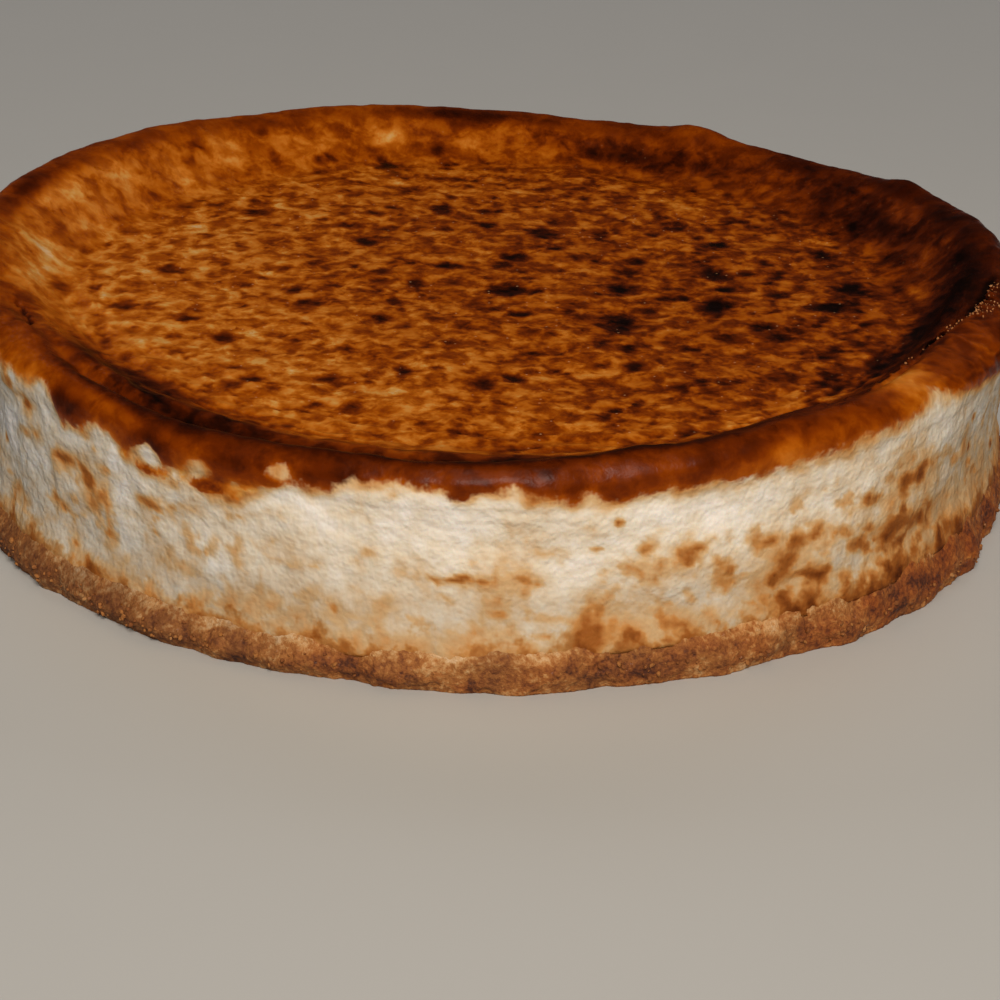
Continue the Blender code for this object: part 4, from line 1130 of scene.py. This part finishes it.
def show(surface_mesh, name, material, slot, *nodes):
    """Link a mesh as a piece that stands for the given solids."""
    piece = bpy.data.objects.new(name, surface_mesh)
    bpy.context.scene.collection.objects.link(piece)
    surface_mesh.materials.append(material)
    surface_mesh.shade_smooth()
    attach(piece, BODY)
    if nodes:
        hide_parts(*nodes)
    return piece


def count_property(label, words, value, least):
    """A whole number property."""
    return bpy.props.IntProperty(name=label, description=words, default=value, min=least)


def length_property(label, words, value):
    """A length property in metres."""
    return bpy.props.FloatProperty(name=label, description=words, default=value, unit="LENGTH")


def colour_property(label, words, code):
    """A linear colour property with an sRGB default."""
    return bpy.props.FloatVectorProperty(
        name=label, description=words, subtype="COLOR", size=3, min=0.0, max=1.0, default=linear(code)[:3])


class CakeSizes(bpy.types.PropertyGroup):
    points_round: count_property(
        "Points round the filling", "Points in each ring of the rim and side, a multiple of 16", 816, 64)
    floor_spacing: length_property("Floor spacing", "Distance between rings on the sunken top", 1.15 * MM)
    slope_rings: count_property("Slope rings", "Rings from the sunken top up to the crest of the rim", 31, 4)
    roll_rings: count_property("Roll rings", "Rings over the browned roll", 18, 4)
    wall_rings: count_property("Side rings", "Rings down the pale side", 41, 4)
    foot_sink: length_property("Foot sink", "How far the filling is bedded into the crumbs", 1.5 * MM)
    crumb_points_round: count_property(
        "Points round the base", "Points in each ring of the crumb side, a multiple of 64", 2176, 128)
    crumb_rings: count_property("Crumb rings", "Rings down the crumb side", 34, 4)
    lip_crumb: length_property("Lip crumb", "Usual width of a golden crumb on the cracked lip", 0.38 * MM)
    biscuit_crumb: length_property(
        "Biscuit crumb", "Usual width of a crumb that stands out from the base", 1.1 * MM)
    camera_lens: bpy.props.FloatProperty(
        name="Lens", description="Focal length of the camera in millimetres", default=90.9)
    floor_width: length_property("Floor width", "Width of the studio floor", 6.0)


class CakeColours(bpy.types.PropertyGroup):
    pale_filling: colour_property("Pale filling", "Filling that the tin shielded", "#F3E9DC")
    cream_filling: colour_property("Cream filling", "Filling with the first colour of baking", "#E8D7BD")
    straw_filling: colour_property("Straw filling", "Faintly baked filling", "#D6AF7E")
    tan_filling: colour_property("Tan filling", "Baked edge of a stain", "#C2874A")
    toasted_filling: colour_property("Toasted filling", "Middle of a stain", "#9C5B24")
    browned_filling: colour_property("Browned filling", "Darkest part of a stain", "#763C12")
    straw_skin: colour_property("Straw skin", "Lightly baked skin", "#D6B285")
    golden_skin: colour_property("Golden skin", "Golden baked skin", "#CF9347")
    amber_skin: colour_property("Amber skin", "Amber baked skin", "#C67322")
    copper_skin: colour_property("Copper skin", "Orange baked skin", "#AF5A0C")
    russet_skin: colour_property("Russet skin", "Orange brown skin", "#964402")
    rust_skin: colour_property("Rust skin", "Brown skin", "#7A3001")
    chestnut_skin: colour_property("Chestnut skin", "Well browned skin", "#5F2101")
    umber_skin: colour_property("Umber skin", "Dark brown skin", "#3E1201")
    mahogany_skin: colour_property("Mahogany skin", "Very dark skin", "#260A02")
    charred_skin: colour_property("Charred skin", "Burnt blisters and crust", "#100401")
    # Painted glints: the pale colour of the dots of burst bubbles on the sunken top
    painted_glint_skin: colour_property("Burst bubbles", "Pin-sized burst bubbles on the sunken top", "#D9A070")
    lip_pale: colour_property("Pale lip crumb", "Lightest crumbs on the cracked lip", "#CA9260")
    lip_gold: colour_property("Golden lip crumb", "Most crumbs on the cracked lip", "#AC6C38")
    lip_brown: colour_property("Brown lip crumb", "Darkest crumbs on the cracked lip", "#6E3414")
    # The darkest crumb colour, also used as painted shade in the hollows between crumbs
    dark_crumb_and_painted_shade: colour_property("Dark crumb", "Hollows and dark crumbs", "#4C240F")
    crumb_brown: colour_property("Brown crumb", "Most of the crumbs", "#80481C")
    crumb_tan: colour_property("Tan crumb", "Light crumbs", "#A0652E")
    crumb_pale: colour_property("Pale crumb", "Sugary edge of the base", "#BC8C58")
    crumb_smear: colour_property("Smeared crumb", "Filling smeared over the top of the base", "#D2B088")
    # Grey tint of the darkest crumbs: painted shade at the left of the base, random darker patches elsewhere
    shaded_crumb: colour_property("Tint of dull crumb", "Tint of the base in its driest stretch", "#C6BEBA")
    caramel_crumb: colour_property(
        "Tint of caramel", "Tint of the base where its sugar browned most", "#F8D08C")
    # Painted shade: cool grey tint multiplied into the ends and the lower part of the side
    painted_shade_tint: colour_property("Tint of dry side", "Tint of the side where it dried out", "#DAE0EA")
    floor_colour: colour_property("Floor", "Studio floor", "#B8B5AF")


class CAKE_OT_filling(bpy.types.Operator):
    """Add the baked filling with its browned, wrinkled top"""
    bl_idname = "cheesecake.filling"
    bl_label = "Baked filling"

    def execute(self, context):
        sizes, colours = context.scene.cake_sizes, context.scene.cake_colours
        surface = RingSurface("baked_filling_skin", filling_rings(sizes))
        form_filling(surface, BASE_THICKNESS - sizes.foot_sink)
        dress_filling(surface, sizes)
        material = baked_filling_material(colours)
        show(surface.mesh, "baked_filling_skin", material, "browned_filling", "baked_filling")
        return {"FINISHED"}


class CAKE_OT_base(bpy.types.Operator):
    """Add the pressed biscuit crumb base"""
    bl_idname = "cheesecake.base"
    bl_label = "Crumb base"

    def execute(self, context):
        sizes, colours = context.scene.cake_sizes, context.scene.cake_colours
        surface = RingSurface("crumb_base_crust", base_rings(sizes))
        form_base(surface)
        dress_base(surface)
        shades, tints = biscuit_shades(colours), (colours.shaded_crumb, colours.caramel_crumb)
        material = crumb_material("Biscuit crumb, pressed and baked", "crumb_tone", shades, tints)
        show(surface.mesh, "crumb_base_crust", material, "biscuit_crumb", "crumb_base")
        return {"FINISHED"}


class CAKE_OT_lip_crumbs(bpy.types.Operator):
    """Add the golden crumbs that cling to the cracked lip of the rim"""
    bl_idname = "cheesecake.lip_crumbs"
    bl_label = "Lip crumbs"

    def execute(self, context):
        sizes, colours = context.scene.cake_sizes, context.scene.cake_colours
        skin = bpy.data.objects["baked_filling_skin"].data
        places, normals = vertex_values(skin, "co", 3), vertex_values(skin, "normal", 3)
        out = vertex_values(skin, "rim_out")
        azimuth = np.degrees(np.arctan2(places[:, 1], places[:, 0])) % 360.0
        path = np.array(CRACKS[0][0])
        gap = out - np.interp(azimuth, path[:, 0], path[:, 1])
        draw = np.random.default_rng(207)
        seats = []
        for middle, spread_round, nearest, furthest, count in LIP_CRUMBS:
            near = np.abs(azimuth - middle) < spread_round
            pick = np.flatnonzero(near & (gap > nearest) & (gap < furthest) & (out < 30.0))
            seats.append(draw.choice(pick, min(count, len(pick)), replace=False))
        seats = np.concatenate(seats)
        shift = draw.uniform(-0.45, 0.45, (len(seats), 3)) * MM
        shift -= normals[seats] * np.sum(shift * normals[seats], axis=1)[:, None]
        widths = sizes.lip_crumb * draw.uniform(0.5, 1.4, len(seats)) ** 1.3
        mesh = scatter_bits("golden_crumbs", places[seats] + shift, normals[seats], widths, 0.35, 208)
        shades = (colours.lip_brown, colours.lip_gold, colours.lip_gold, colours.lip_pale, colours.lip_pale)
        material = crumb_material("Baked filling crumbs, golden", "bit_tone", shades)
        show(mesh, "golden_crumbs", material, "browned_filling")
        return {"FINISHED"}


class CAKE_OT_loose_biscuit(bpy.types.Operator):
    """Add the biscuit crumbs that stand out from the edge of the base"""
    bl_idname = "cheesecake.loose_biscuit"
    bl_label = "Stuck biscuit crumbs"

    def execute(self, context):
        sizes, colours = context.scene.cake_sizes, context.scene.cake_colours
        crust = bpy.data.objects["crumb_base_crust"].data
        places, normals = vertex_values(crust, "co", 3), vertex_values(crust, "normal", 3)
        draw = np.random.default_rng(211)
        low, high = np.array(CAD_BOX)[:, :2]
        reach = 1.5 * sizes.biscuit_crumb
        flat, height = places[:, :2], places[:, 2]
        inside = np.all((flat > low + reach) & (flat < high - reach), axis=1)
        side = np.hypot(flat[:, 0], flat[:, 1]) > WALL_RADIUS + 0.8 * MM
        pick = np.flatnonzero(inside & side & (height > 1.3 * sizes.biscuit_crumb) & (height < 5.0 * MM))
        seats = draw.choice(pick, BISCUIT_BIT_COUNT, replace=False)
        widths = sizes.biscuit_crumb * draw.uniform(0.35, 1.05, len(seats))
        mesh = scatter_bits("biscuit_bits", places[seats], normals[seats], widths, 0.35, 212)
        shades = (colours.crumb_brown,) * 2 + (colours.crumb_tan,) * 2 + (colours.crumb_pale,)
        material = crumb_material("Biscuit crumb, loose", "bit_tone", shades)
        show(mesh, "biscuit_bits", material, "biscuit_crumb")
        return {"FINISHED"}


class CAKE_OT_stage(bpy.types.Operator):
    """Add the studio floor, the lights and the camera"""
    bl_idname = "cheesecake.stage"
    bl_label = "Stage"

    def execute(self, context):
        sizes, colours = context.scene.cake_sizes, context.scene.cake_colours
        self.add_floor(context, sizes, colours)
        self.add_lights(context)
        self.add_camera(context, sizes)
        return {"FINISHED"}

    @staticmethod
    def add_floor(context, sizes, colours):
        bpy.ops.mesh.primitive_plane_add(size=sizes.floor_width, location=(0.0, 0.0, 0.0))
        floor = context.object
        floor.name = "studio_floor"
        m = new_material("Studio floor, matt painted board")
        place = add_node(m, "ShaderNodeTexCoord").outputs["Object"]
        speck = add_node(m, NOISE, {"Vector": place, "Scale": 40.0, "Detail": 5.0})
        rough = add_node(m, RANGE, {"Value": speck.outputs[0], "To Min": 0.6, "To Max": 0.8}).outputs[0]
        shader = add_node(m, "ShaderNodeBsdfPrincipled", {
            "Base Color": (*colours.floor_colour, 1.0), "Roughness": rough, "Specular IOR Level": 0.3})
        add_node(m, "ShaderNodeOutputMaterial", {"Surface": shader.outputs[0]})
        floor.data.materials.append(m)

    @staticmethod
    def add_lights(context):
        world = bpy.data.worlds.new("Studio air")
        context.scene.world = world
        world.use_nodes = True
        air = world.node_tree.nodes["Background"]
        air.inputs["Color"].default_value = linear(AIR_COLOUR)
        air.inputs["Strength"].default_value = AIR_STRENGTH
        target = Vector(LIGHTS_AIM)
        for name, azimuth, elevation, distance, width, watts, code, mirrored in SOFTBOXES:
            lamp = bpy.data.lights.new(name, "AREA")
            lamp.size = width
            lamp.energy = watts
            lamp.color = linear(code)[:3]
            holder = bpy.data.objects.new(name, lamp)
            a, e = math.radians(azimuth), math.radians(elevation)
            toward = Vector((math.cos(a) * math.cos(e), math.sin(a) * math.cos(e), math.sin(e)))
            holder.location = target + distance * toward
            holder.rotation_euler = (target - holder.location).to_track_quat("-Z", "Y").to_euler()
            holder.visible_glossy = mirrored
            context.scene.collection.objects.link(holder)

    @staticmethod
    def add_camera(context, sizes):
        """Stand in front, a little above, looking down and slightly rolled."""
        yaw, pitch, roll = (math.radians(turn) for turn in (CAMERA_YAW, CAMERA_PITCH, CAMERA_ROLL))
        forward = Vector((math.sin(yaw) * math.cos(pitch), math.cos(yaw) * math.cos(pitch), -math.sin(pitch)))
        level = Vector((math.cos(yaw), -math.sin(yaw), 0.0))
        upward = level.cross(forward)
        right = level * math.cos(roll) + upward * math.sin(roll)
        top = upward * math.cos(roll) - level * math.sin(roll)
        camera = bpy.data.objects.new("camera", bpy.data.cameras.new("camera"))
        camera.data.lens = sizes.camera_lens
        camera.data.sensor_width = 36.0
        camera.data.clip_start = 0.01
        turned = Matrix((right, top, -forward)).transposed().to_4x4()
        camera.matrix_world = Matrix.Translation(CAMERA_PLACE) @ turned
        context.scene.collection.objects.link(camera)
        context.scene.camera = camera
        context.scene.view_settings.view_transform = "Standard"


class CAKE_PT_panel(bpy.types.Panel):
    """Sidebar panel with the pieces in the order they are made"""
    bl_label = "Cheesecake"
    bl_idname = "CAKE_PT_panel"
    bl_space_type = "VIEW_3D"
    bl_region_type = "UI"
    bl_category = "Cheesecake"

    def draw(self, context):
        for operator in OPERATORS:
            self.layout.operator(operator.bl_idname)
        for group in (context.scene.cake_sizes, context.scene.cake_colours):
            box = self.layout.box()
            for name in group.__annotations__:
                box.prop(group, name)


OPERATORS = (CAKE_OT_filling, CAKE_OT_base, CAKE_OT_lip_crumbs, CAKE_OT_loose_biscuit, CAKE_OT_stage)
CLASSES = (CakeSizes, CakeColours, *OPERATORS, CAKE_PT_panel)


def register():
    for item in CLASSES:
        bpy.utils.register_class(item)
    bpy.types.Scene.cake_sizes = bpy.props.PointerProperty(type=CakeSizes)
    bpy.types.Scene.cake_colours = bpy.props.PointerProperty(type=CakeColours)


def unregister():
    del bpy.types.Scene.cake_colours
    del bpy.types.Scene.cake_sizes
    for item in reversed(CLASSES):
        bpy.utils.unregister_class(item)


def main():
    register()
    bpy.ops.cheesecake.stage()
    bpy.ops.cheesecake.base()
    bpy.ops.cheesecake.filling()
    bpy.ops.cheesecake.lip_crumbs()
    bpy.ops.cheesecake.loose_biscuit()


if __name__ == "__main__":
    main()
